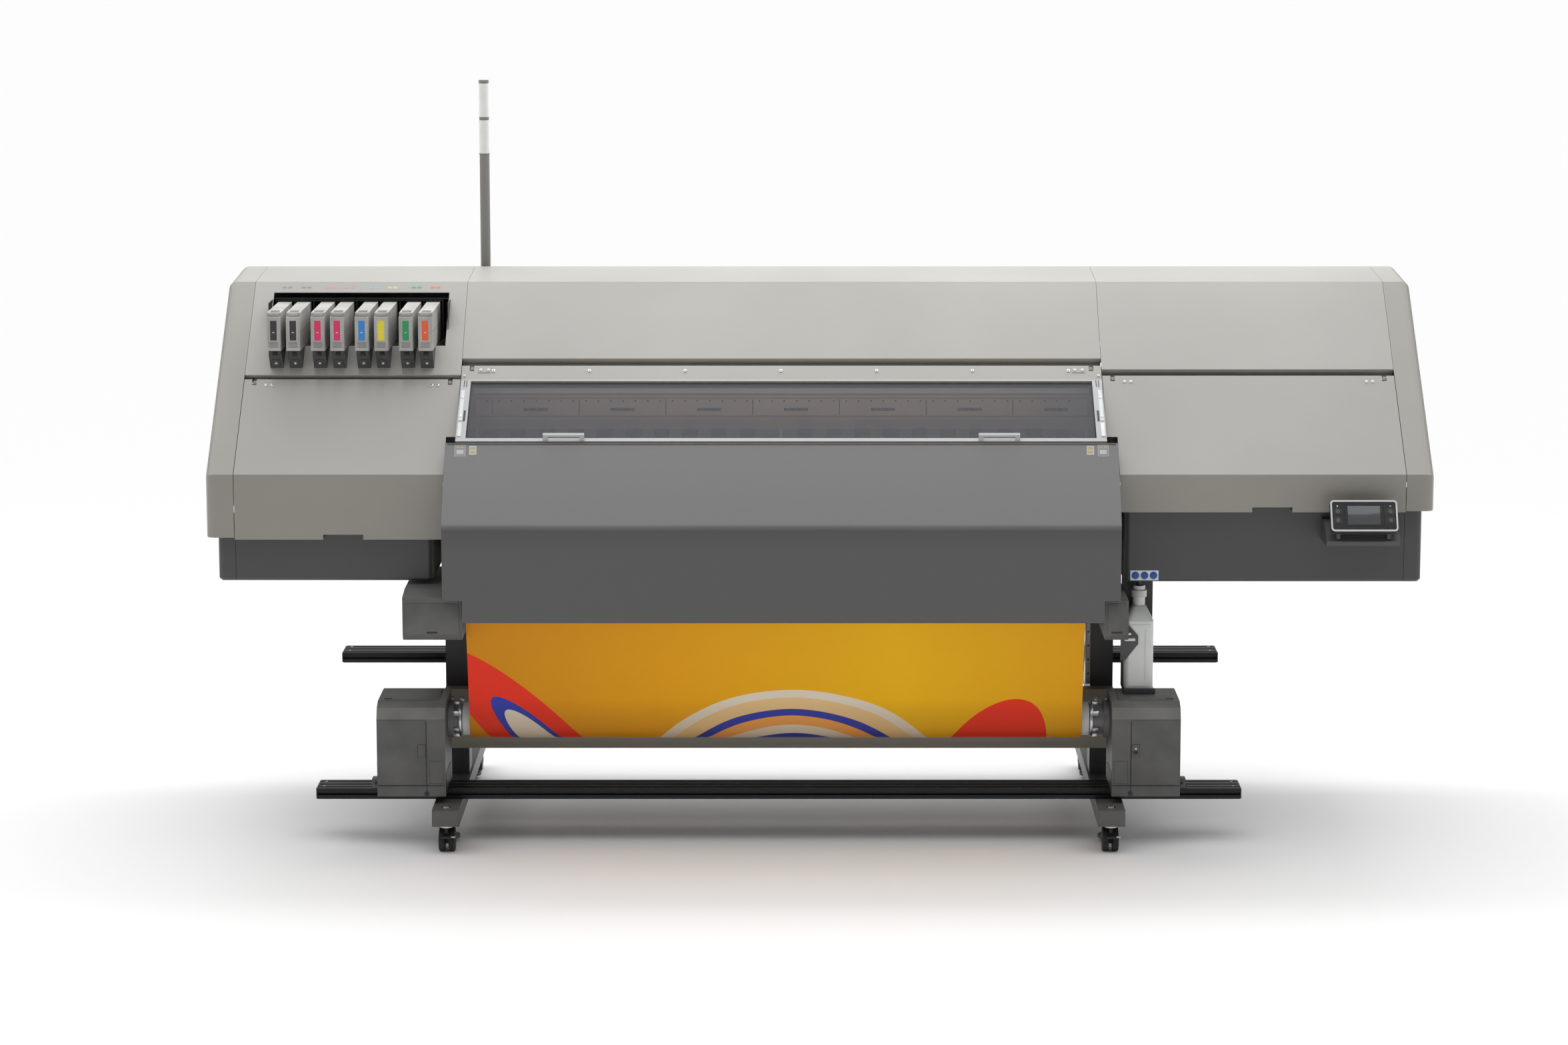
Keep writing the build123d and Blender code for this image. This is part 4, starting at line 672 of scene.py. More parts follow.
class Piece:
    """One mesh piece of the printer, modelled in place with bmesh operators."""

    def __init__(self, name: str) -> None:
        """Start an empty piece.

        Args:
            name: the piece's name.
        """
        self.name = name
        self.mesh = bmesh.new()
        self.finishes: list[Material] = []

    def paint(self, faces: set[bmesh.types.BMFace], finish: Material) -> None:
        """Give faces a finish.

        Args:
            faces: the faces to paint.
            finish: the material.
        """
        if finish not in self.finishes:
            self.finishes.append(finish)
        index = self.finishes.index(finish)
        for face in faces:
            face.material_index = index

    def settle(self, verts: list[bmesh.types.BMVert], bevel: float, segments: int,
               place: Matrix, finish: Material) -> None:
        """Bevel, place and paint a shape that was just made.

        Args:
            verts: the shape's vertices.
            bevel: width of its rounded edges.
            segments: segments of the bevel.
            place: where the shape goes.
            finish: its material.
        """
        edges = list({e for v in verts for e in v.link_edges})
        faces = {f for v in verts for f in v.link_faces}
        if bevel > 0:
            sharp = [e for e in edges if e.is_manifold and e.calc_face_angle(0) > BEVEL_ANGLE]
            made = bmesh.ops.bevel(self.mesh, geom=sharp, offset=bevel, segments=segments,
                                   profile=0.5, affect="EDGES", material=-1, clamp_overlap=True)
            faces = {f for f in faces if f.is_valid} | set(made["faces"])
            faces |= {f for v in made["verts"] for f in v.link_faces}
        verts = list({v for f in faces for v in f.verts})
        bmesh.ops.transform(self.mesh, matrix=place, verts=verts)
        self.paint(faces, finish)

    def block(self, low: Vector, high: Vector, finish: Material, bevel: float = 0.0,
              place: Matrix | None = None, segments: int = 2) -> None:
        """Add a box between two corners, with rounded edges.

        Args:
            low: lowest corner.
            high: highest corner.
            finish: its material.
            bevel: width of its rounded edges.
            place: where its own frame goes.
            segments: segments of the bevel.
        """
        low, high = Vector(low), Vector(high)
        made = bmesh.ops.create_cube(self.mesh, size=1.0)["verts"]
        size = high - low
        shape = Matrix.Translation((low + high) / 2) @ Matrix.Diagonal((*size, 1))
        bmesh.ops.transform(self.mesh, matrix=shape, verts=made)
        self.settle(made, bevel, segments, place or Matrix.Identity(4), finish)

    def disc(self, centre: Vector, radius: float, depth: float, finish: Material,
             axis: Turn = Turn.Z, bevel: float = 0.0, sides: int = 24, place: Matrix | None = None) -> None:
        """Add a turned disc, boss, pin or nut.

        Args:
            centre: middle of the shape.
            radius: its radius.
            depth: its length.
            finish: its material.
            axis: the axis it is round.
            bevel: width of its rounded rims.
            sides: sides of the circle.
            place: where its own frame goes.
        """
        made = bmesh.ops.create_cone(self.mesh, cap_ends=True, cap_tris=False, segments=sides,
                                     radius1=radius, radius2=radius, depth=depth)["verts"]
        shape = Matrix.Translation(Vector(centre)) @ turned(axis)
        self.settle(made, bevel, 2, (place or Matrix.Identity(4)) @ shape, finish)

    def bar(self, middle: float, half: float, depth: Span, height: Span, finish: Material,
            bevel: float = 0.0, segments: int = 2) -> None:
        """Add a box about a middle along X.

        Args:
            middle: its middle along X.
            half: half its width.
            depth: where it starts and ends along Y.
            height: where it starts and ends along Z.
            finish: its material.
            bevel: width of its rounded edges.
            segments: segments of the bevel.
        """
        low, high = (middle - half, depth[0], height[0]), (middle + half, depth[1], height[1])
        self.block(low, high, finish, bevel, segments=segments)

    def extrude(self, corners: list[tuple[float, float, float]], way: Vector, finish: Material,
                bevel: float) -> None:
        """Extrude a flat outline into a solid.

        Args:
            corners: the outline's points, in order round it.
            way: direction and length of the extrusion.
            finish: its material.
            bevel: width of its rounded edges.
        """
        verts = [self.mesh.verts.new(corner) for corner in corners]
        face = self.mesh.faces.new(verts)
        made = bmesh.ops.extrude_face_region(self.mesh, geom=[face])["geom"]
        far = [v for v in made if isinstance(v, bmesh.types.BMVert)]
        bmesh.ops.translate(self.mesh, vec=way, verts=far)
        faces = list({f for v in verts + far for f in v.link_faces})
        bmesh.ops.recalc_face_normals(self.mesh, faces=faces)
        self.settle(verts + far, bevel, 2, Matrix.Identity(4), finish)

    def prism(self, outline: list[Span], start: float, end: float, finish: Material,
              bevel: float) -> None:
        """Extrude a side outline of (y, z) points along X.

        Args:
            outline: the points, in order round the shape.
            start: where it starts along X.
            end: where it ends along X.
            finish: its material.
            bevel: width of its rounded edges.
        """
        self.extrude([(start, y, z) for y, z in outline], Vector((end - start, 0, 0)), finish, bevel)

    def finish(self, body: str, slot: str) -> None:
        """Turn the piece into an object that rides on a body, with gentle edges shaded smooth.

        Args:
            body: the CAD body that carries it.
            slot: the record's material slot; not used.
        """
        data = bpy.data.meshes.new(self.name)
        self.mesh.normal_update()
        self.mesh.to_mesh(data)
        self.mesh.free()
        for material in self.finishes:
            data.materials.append(material)
        data.shade_smooth()
        data.set_sharp_from_angle(angle=SHARP_ANGLE)
        piece = bpy.data.objects.new(self.name, data)
        bpy.context.scene.collection.objects.link(piece)
        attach(piece, body)
        log.info("%s on %s: %d faces", self.name, body, len(data.polygons))


class Skin:
    """Surfaces of the CAD nodes, for seating fittings on them."""

    def __init__(self, nodes: dict[str, bpy.types.Object]) -> None:
        """Keep the nodes; trees are made when first asked for.

        Args:
            nodes: the CAD nodes by name.
        """
        self.nodes = nodes
        self.trees: dict[str, BVHTree] = {}

    def hit(self, node: str, origin: Vector, direction: Vector) -> Matrix:
        """Place on a node's surface where a ray meets it.

        Args:
            node: the CAD node.
            origin: where the ray starts.
            direction: where it goes.

        Returns:
            A matrix whose origin is the point, whose Z is the outward normal and whose Y is
            as near up as it can be.
        """
        if node not in self.trees:
            data = self.nodes[node].data
            self.trees[node] = BVHTree.FromPolygons(
                [v.co for v in data.vertices], [p.vertices for p in data.polygons])
        point, normal, _, _ = self.trees[node].ray_cast(Vector(origin), Vector(direction))
        if point is None:
            raise ValueError(f"no surface of {node} in front of {origin}")
        if normal.dot(direction) > 0:
            normal = -normal
        return seated(point, normal)

    def front(self, node: str, x: float, z: float) -> Matrix:
        """Place on a node's front at that width and height."""
        return self.hit(node, Vector((x, -RAY_START, z)), BACKWARD)

    def back(self, node: str, x: float, z: float) -> Matrix:
        """Place on a node's back at that width and height."""
        return self.hit(node, Vector((x, RAY_START, z)), FORWARD)

    def above(self, node: str, x: float, y: float) -> Matrix:
        """Place on a node's top at that width and depth."""
        return self.hit(node, Vector((x, y, RAY_START)), -UP)

    def side(self, node: str, y: float, z: float, side: Side) -> Matrix:
        """Place on a node's left or right face at that depth and height."""
        return self.hit(node, Vector((RAY_START * side.value, y, z)), Vector((-side.value, 0, 0)))


def seated(point: Vector, normal: Vector) -> Matrix:
    """Frame on a surface with Z outward and Y as near up as it can be.

    Args:
        point: a point on the surface.
        normal: its outward normal.

    Returns:
        The placing matrix.
    """
    normal = normal.normalized()
    reference = UP if abs(normal.dot(UP)) < 0.98 else BACKWARD
    across = reference.cross(normal).normalized()
    upward = normal.cross(across)
    turn = Matrix((across, upward, normal)).transposed().to_4x4()
    return Matrix.Translation(point) @ turn


def screw(piece: Piece, place: Matrix, finish: Material, dark: Material,
          radius: float = 0.0045) -> None:
    """Add a low domed screw with a cross recess.

    Args:
        piece: the piece that takes the screw.
        place: its place on the surface.
        finish: the head's finish.
        dark: the recess's finish.
        radius: the head's radius.
    """
    piece.disc((0, 0, radius * 0.2), radius, radius * 0.5, finish, bevel=radius * 0.28, sides=14,
               place=place)
    arm = radius * 0.55
    thin = radius * 0.13
    for size in ((arm, thin), (thin, arm)):
        piece.block((-size[0], -size[1], radius * 0.40), (size[0], size[1], radius * 0.475), dark,
                    place=place)


def plate(piece: Piece, place: Matrix, width: float, height: float, thick: float,
          finish: Material, bevel: float = 0.0003) -> None:
    """Add a thin flat plate or label on a surface.

    Args:
        piece: the piece that takes it.
        place: its place on the surface.
        width: its size across.
        height: its size upward.
        thick: its thickness.
        finish: its material.
        bevel: width of its rounded edges.
    """
    piece.block((-width / 2, -height / 2, -thick * 0.2), (width / 2, height / 2, thick), finish,
                bevel, place, 1)


# ---- Sub-assemblies -----------------------------------------------------------------------


@dataclass
class SubAssembly:
    """Base of every sub-assembly: the CAD frame, the palette and the surfaces to seat fittings on."""

    frame: dict
    palette: Palette
    skin: Skin

    def box(self, node: str) -> tuple[Vector, Vector]:
        """Lowest and highest corner of a CAD node."""
        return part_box(node)

    def pivot(self, joint: str) -> Vector:
        """Point on a hinge's axis.

        Args:
            joint: the joint's name.

        Returns:
            The point.
        """
        found = next(j for j in self.frame["joints"] if j["name"] == joint)
        return Vector(found["pos_m"])

    def dress(self, node: str, finish: str, rules: tuple = ()) -> None:
        """Give a CAD node its finish, and other finishes where a rule picks a face.

        Args:
            node: the CAD node.
            finish: its main finish.
            rules: pairs of a finish name and a test of a face's centre and normal.
        """
        data = self.frame["nodes"][node].data
        data.materials.clear()
        data.materials.append(self.palette[finish])
        for name, _ in rules:
            data.materials.append(self.palette[name])
        for polygon in data.polygons:
            polygon.material_index = 0
            for index, (_, test) in enumerate(rules, 1):
                if test(polygon.center, polygon.normal):
                    polygon.material_index = index

    def fasten(self, piece: Piece, place: Matrix, radius: float) -> None:
        """Add a zinc screw with a black recess.

        Args:
            piece: the piece that takes the screw.
            place: its place on the surface.
            radius: the head's radius.
        """
        screw(piece, place, self.palette["zinc"], self.palette["black_plastic"], radius)


class Covers(SubAssembly):
    """Top covers, end covers, rear cover and lower shells, with their screws and seams."""

    def build(self) -> None:
        """Dress the covers and add their screws and seams."""
        # The recessed lips take taupe, the fascias' darker paint deepened as painted shade of the recess.
        for node in ("cartridge_panel", "center_top_cover", "right_top_cover"):
            self.dress(node, "warm_grey", (("taupe", self.in_lip(node)),))
        self.dress("rear_cover", "warm_grey")
        # Faces that look up take the lighter warm grey as painted light from above; front faces below the
        # crease take taupe, darker as painted shade.
        for node in ("end_cover_left", "end_cover_right"):
            crease = self.box(node)[0].y + 0.010
            front = (("warm_grey", self.upward), ("taupe", lambda c, n: c.y < crease and n.y < -0.5))
            self.dress(node, "end_taupe", front)
        for node in ("lower_shell_left", "lower_shell_right"):
            self.dress(node, "charcoal")
        self.lip_screws()
        self.shell_seams()

    def upward(self, centre: Vector, normal: Vector) -> bool:
        """Whether a face looks up enough to take the lighter paint, painted light from above."""
        return normal.z > 0.9

    def in_lip(self, node: str) -> FaceTest:
        """Test for the recessed lip below a top cover's slanted sheet.

        Args:
            node: the cover.

        Returns:
            A test of a face.
        """
        low = self.box(node)[0]

        def test(centre: Vector, normal: Vector) -> bool:
            """Whether a face lies in the lip."""
            return centre.z < low.z + 0.032

        return test

    def lip_screws(self) -> None:
        """Screws in the recessed lips beside the doors and above the lid."""
        for node in ("cartridge_panel", "right_top_cover"):
            low, high = self.box(node)
            piece = Piece(f"{node}_lip_screws")
            for x in (low.x + 0.020, high.x - 0.020):
                place = self.skin.front(node, x, low.z + 0.026)
                self.fasten(piece, place, 0.0055)
            piece.finish("root", "roller_steel")
        low, high = self.box("cartridge_panel")
        piece = Piece("cartridge_panel_step_screws")
        for x in (low.x + 0.022, high.x - 0.026):
            place = self.skin.front("cartridge_panel", x, low.z + 0.040)
            self.fasten(piece, place, 0.005)
        piece.finish("root", "roller_steel")

    def shell_seams(self) -> None:
        """Rear screws and a dark seam near the outer end of each lower shell."""
        for side in ("left", "right"):
            low, high = self.box(f"lower_shell_{side}")
            piece = Piece(f"lower_shell_{side}_screws")
            for share in (0.12, 0.5, 0.88):
                x = low.x + (high.x - low.x) * share
                place = self.skin.back(f"lower_shell_{side}", x, low.z + 0.05)
                self.fasten(piece, place, 0.005)
            piece.finish("root", "roller_steel")
            seam = Piece(f"lower_shell_{side}_seam")
            edge = low.x + 0.046 if side == "left" else high.x - 0.046
            front = self.skin.front(f"lower_shell_{side}", edge, low.z + 0.06).translation.y
            seam.bar(edge, 0.0008, (front - 0.0004, front + 0.0008), (low.z + 0.004, high.z - 0.004),
                     self.palette["seam_black"])
            seam.finish("root", "dark_shell")


class Doors(SubAssembly):
    """The two bent doors, with their finger recesses and hinge screws."""

    def build(self) -> None:
        """Dress the doors and add their pieces."""
        crease = self.box("left_door")[0].y + 0.006
        # The vertical fascia below the crease takes taupe, a darker copy of the door's paint: painted shade
        # of a face that gets less light from above.
        for node in ("left_door", "right_door"):
            fascia = (("taupe", lambda centre, normal: centre.y < crease),)
            self.dress(node, "slant_grey", fascia)
        self.recess("left", -1.236)
        self.recess("right", 1.172)
        self.hinge_screws()

    def recess(self, side: str, middle: float) -> None:
        """Black finger cup behind the notch in a door's lower edge.

        Args:
            side: which door.
            middle: the notch's middle along X.
        """
        low, _ = self.box(f"{side}_door")
        piece = Piece(f"{side}_door_finger_cup")
        black = self.palette["black_plastic"]
        width, wall = 0.052, 0.0015
        back = low.y + 0.0265
        piece.bar(middle, width, (back, back + wall), (low.z + 0.0045, low.z + 0.021), black, 0.0004)
        piece.bar(middle, width, (low.y + 0.0045, back), (low.z + 0.0145, low.z + 0.0160), black, 0.0004)
        for x in (middle - width, middle + width - wall):
            piece.block((x, low.y + 0.0045, low.z + 0.0045), (x + wall, back, low.z + 0.0145), black, 0.0003)
        piece.finish(f"{side}_door", "guide_black")

    def hinge_screws(self) -> None:
        """Screws at the top corners of each door, beside its hinge knuckles."""
        for side in ("left", "right"):
            node = f"{side}_door"
            low, high = self.box(node)
            piece = Piece(f"{side}_door_hinge_screws")
            for x in (low.x + 0.058, low.x + 0.074, high.x - 0.058, high.x - 0.074):
                place = self.skin.front(node, x, high.z - 0.014)
                self.fasten(piece, place, 0.0042)
            piece.finish(node, "roller_steel")


class WindowLid(SubAssembly):
    """The hinged window: silver frame, tinted pane, header screws and side strips."""

    def build(self) -> None:
        """Dress the lid and add its fasteners."""
        pane_high = self.box("window_pane")[1]
        header = (("warm_grey", lambda c, n: c.z > pane_high.z - 0.004 and n.y < 0.3),)
        self.dress("window_frame", "silver_white", header)
        self.dress("window_pane", "tinted_pane")
        low, high = self.box("window_frame")
        self.header(low, high)
        self.side_strips(low, high)
        self.gasket()

    def header(self, low: Vector, high: Vector) -> None:
        """Row of screws along the header and hinge brackets at its ends.

        Args:
            low: the frame's lowest corner.
            high: its highest corner.
        """
        piece = Piece("window_header_screws")
        count, first = 7, low.x + 0.084
        pitch = (high.x - low.x - 0.171) / (count - 1)
        for index in range(count):
            place = self.skin.front("window_frame", first + index * pitch, high.z - 0.012)
            self.fasten(piece, place, 0.0048)
        piece.finish("window_lid", "roller_steel")
        for side, edge in ((Side.LEFT, low.x), (Side.RIGHT, high.x)):
            inward = -side.value
            piece = Piece(f"window_hinge_bracket_{side.name.lower()}")
            place = self.skin.front("window_frame", edge + inward * 0.060, high.z - 0.011)
            plate(piece, place, 0.034, 0.016, 0.0016, self.palette["warm_grey"], 0.0006)
            for offset in (-0.010, 0.010):
                spot = place @ Matrix.Translation((offset, 0, 0.0016))
                self.fasten(piece, spot, 0.0038)
            piece.finish("window_lid", "roller_steel")

    def side_strips(self, low: Vector, high: Vector) -> None:
        """Bright strips down both sides of the pane, with slots, screws and a catch block.

        Args:
            low: the frame's lowest corner.
            high: its highest corner.
        """
        bright, black = self.palette["clear_aluminium"], self.palette["seam_black"]
        rise = high.z - low.z
        for side, x in ((Side.LEFT, low.x + 0.0125), (Side.RIGHT, high.x - 0.0125)):
            piece = Piece(f"window_side_strip_{side.name.lower()}")
            place = self.skin.front("window_frame", x, high.z - rise * 0.60)
            plate(piece, place @ Matrix.Translation((side.value * 0.0045, 0.026, 0)), 0.0095, 0.118, 0.0014,
                  self.palette["silver_bright"], 0.0005)
            plate(piece, place @ Matrix.Translation((side.value * 0.0045, -0.068, 0)), 0.0105, 0.052, 0.0024,
                  self.palette["white_plastic"], 0.0008)
            upper = self.skin.front("window_frame", x, high.z - rise * 0.24)
            for offset in (-0.0032, 0.0032):
                plate(piece, upper @ Matrix.Translation((offset, 0, 0)), 0.0022, 0.026, 0.0006, black,
                      0.0002)
            plate(piece, place @ Matrix.Translation((-side.value * 0.0050, -0.014, 0)), 0.0050, 0.040,
                  0.0016, black, 0.0005)
            for share in (0.14, 0.42, 0.66):
                spot = self.skin.front("window_frame", x + side.value * 0.0045, high.z - rise * share)
                screw(piece, spot @ Matrix.Translation((0, 0, 0.0012)), bright,
                      self.palette["black_plastic"], 0.0034)
            piece.finish("window_lid", "rail_aluminium")

    def gasket(self) -> None:
        """Black seal round the pane's opening."""
        pane_low, pane_high = self.box("window_pane")
        upper = self.skin.front("window_pane", (pane_low.x + pane_high.x) / 2, pane_high.z - 0.008)
        piece = Piece("window_gasket")
        rubber = self.palette["rubber"]
        slope = Vector((0, pane_high.y - pane_low.y, pane_high.z - pane_low.z))
        half = (pane_high.x - pane_low.x) / 2
        middle = (pane_low.x + pane_high.x) / 2
        length = slope.length - 0.010
        turn = upper.to_3x3().to_4x4()
        centre = (pane_low + pane_high) / 2
        surface = self.skin.front("window_pane", middle, centre.z)
        place = Matrix.Translation(surface.translation) @ turn
        thick, tall = 0.0028, 0.0017
        for x in (-half, half - thick):
            piece.block((x, -length / 2, -0.0002), (x + thick, length / 2, tall), rubber, 0.0005, place)
        for y in (-length / 2, length / 2 - thick):
            piece.block((-half, y, -0.0002), (half, y + thick, tall), rubber, 0.0005, place)
        piece.finish("window_lid", "pinch_rubber")


class PrintZone(SubAssembly):
    """What shows through the window: beam fascia, slits, knobs, pinch levers and carriage."""

    def build(self) -> None:
        """Dress the print zone and add its fittings."""
        self.dress("guide_beam", "beam_grey")
        self.dress("platen", "clear_aluminium")
        self.dress("bed_frame", "stand_black")
        self.dress("feed_roller", "steel")
        axis = self.pivot("pinch_rollers_turn")
        tyre = (("rubber", lambda c, n: Vector((c.y - axis.y, c.z - axis.z)).length > 0.0055),)
        self.dress("pinch_rollers", "steel", tyre)
        self.dress("carriage", "black_plastic")
        self.dress("capping_station", "guide_grey")
        pane_low, pane_high = self.box("window_pane")
        start, end = pane_low.x + 0.004, pane_high.x - 0.004
        crown = self.box("guide_beam")[1].z
        front = self.skin.front("guide_beam", pane_low.x + 0.1, crown - 0.060).translation.y
        self.fascia(start, end, front, crown)
        self.upper_cover(start, end, front, crown)
        self.levers(front)
        self.edge_clamps()
        self.carriage_plate()

    def fascia(self, start: float, end: float, front: float, crown: float) -> None:
        """Plate along the beam, divided by slits, with knobs between them and a row of holes.

        Args:
            start: where it starts along X.
            end: where it ends along X.
            front: the beam's front face along Y.
            crown: the beam's top.
        """
        piece, slits, knobs = Piece("beam_fascia"), Piece("beam_slits"), Piece("beam_knobs")
        black = self.palette["black_plastic"]
        bottom, top = crown - 0.083, crown - 0.037
        face = front - 0.0060
        piece.block((start, face, bottom), (end, front + 0.0004, top), self.palette["fascia_grey"], 0.0012)
        piece.finish("root", "rail_aluminium")
        pitch, first = 0.231, start + 0.045
        for index in range(int((end - first) / pitch) + 1):
            x = first + index * pitch
            slits.bar(x, 0.0013, (face - 0.0006, face + 0.0002), (bottom + 0.003, top - 0.003), black)
            middle = x + pitch / 2
            if middle > end - 0.03:
                continue
            knobs.bar(middle, 0.032, (face - 0.0020, face + 0.0002), (bottom + 0.013, bottom + 0.021),
                      black, 0.0006)
            for offset in (-0.020, 0.0, 0.020):
                centre = (middle + offset, face - 0.0016, bottom + 0.017)
                knobs.disc(centre, 0.0044, 0.0034, self.palette["guide_grey"], Turn.Y, 0.0008, 16)
        slits.finish("root", "guide_black")
        knobs.finish("root", "guide_black")
        holes = Piece("beam_holes")
        step, margin = 0.033, 0.03
        for index in range(int((end - start - 0.04) / step)):
            centre = (start + margin + index * step, face - 0.0002, top - 0.006)
            holes.disc(centre, 0.0022, 0.0010, black, Turn.Y, sides=10)
        holes.finish("root", "guide_black")

    def upper_cover(self, start: float, end: float, front: float, crown: float) -> None:
        """Folded cover over the beam's top edge, and the cable chain that lies behind it.

        Args:
            start: where it starts along X.
            end: where it ends along X.
            front: the beam's front face along Y.
            crown: the beam's top.
        """
        cover = Piece("beam_upper_cover")
        nose, fold, tail = front - 0.052, front - 0.004, front + 0.030
        outline = [(nose, crown - 0.016), (nose, crown - 0.002), (tail, crown + 0.012),
                   (tail, crown + 0.0005), (fold, crown + 0.0005), (fold, crown - 0.016)]
        cover.prism(outline, start, end, self.palette["fascia_grey"], 0.001)
        cover.finish("root", "rail_aluminium")
        chain = Piece("beam_cable_chain")
        links, pitch, length = 58, 0.0275, 0.024
        for index in range(links):
            x = start + 0.02 + index * pitch
            chain.block((x, front + 0.036, crown + 0.001), (x + length, front + 0.066, crown + 0.019),
                        self.palette["black_plastic"], 0.002, segments=1)
        chain.finish("root", "guide_black")

    def levers(self, beam: float) -> None:
        """Pinch levers under the beam with a spring pin through each, none at the web's edges and middle.

        Args:
            beam: the beam's front face along Y.
        """
        axis = self.pivot("pinch_rollers_turn")
        low, high = self.box("media_web")
        middle = (low.x + high.x) / 2
        count, pitch, half = 21, 0.0762, 0.021
        first = middle - pitch * (count - 1) / 2
        gaps, clear = (low.x - 0.02, middle + 0.008, high.x + 0.02), 0.028
        front, underside, pin = axis.y - 0.0130, 1.0502, 1.0325
        profile = [(beam - 0.016, underside), (front, 1.0440), (front, 1.0240),
                   (axis.y - 0.008, 1.0085), (axis.y + 0.010, 1.0085), (beam + 0.006, underside)]
        levers, pads = Piece("pinch_levers"), Piece("pinch_lever_pads")
        for index in range(count):
            x = first + index * pitch
            if min(abs(x - gap) for gap in gaps) < clear:
                continue
            levers.prism(profile, x - half, x + half, self.palette["guide_grey"], 0.0015)
            pads.disc((x, axis.y + 0.004, pin), 0.0045, 0.048, self.palette["steel"], Turn.X, 0.0006, 14)
        levers.finish("root", "guide_black")
        pads.finish("root", "roller_steel")

    def edge_clamps(self) -> None:
        """Thin steel clamps over both edges of the media on the platen."""
        low, high = self.box("media_web")
        top = self.skin.above("platen", self.box("platen")[0].x + 0.012, -0.2).translation.z
        piece = Piece("media_edge_clamps")
        steel = self.palette["steel"]
        for side, edge in ((Side.LEFT, low.x), (Side.RIGHT, high.x)):
            inner = edge - side.value * 0.012
            outer = edge + side.value * 0.022
            left, right = min(inner, outer), max(inner, outer)
            piece.block((left, -0.300, top + 0.0016), (right, -0.110, top + 0.0024), steel, 0.0003)
            rim = edge + side.value * 0.014
            piece.block((min(rim, outer), -0.290, top), (max(rim, outer), -0.120, top + 0.0017), steel)
        piece.finish("root", "roller_steel")

    def carriage_plate(self) -> None:
        """Front plate and screws of the print carriage."""
        low, high = self.box("carriage")
        piece = Piece("carriage_front_plate")
        place = self.skin.front("carriage", (low.x + high.x) / 2, low.z + 0.05)
        plate(piece, place, 0.170, 0.060, 0.0018, self.palette["guide_grey"], 0.0012)
        for x in (-0.075, 0.075):
            for y in (-0.022, 0.022):
                self.fasten(piece, place @ Matrix.Translation((x, y, 0.0018)), 0.004)
        piece.finish("carriage", "guide_black")


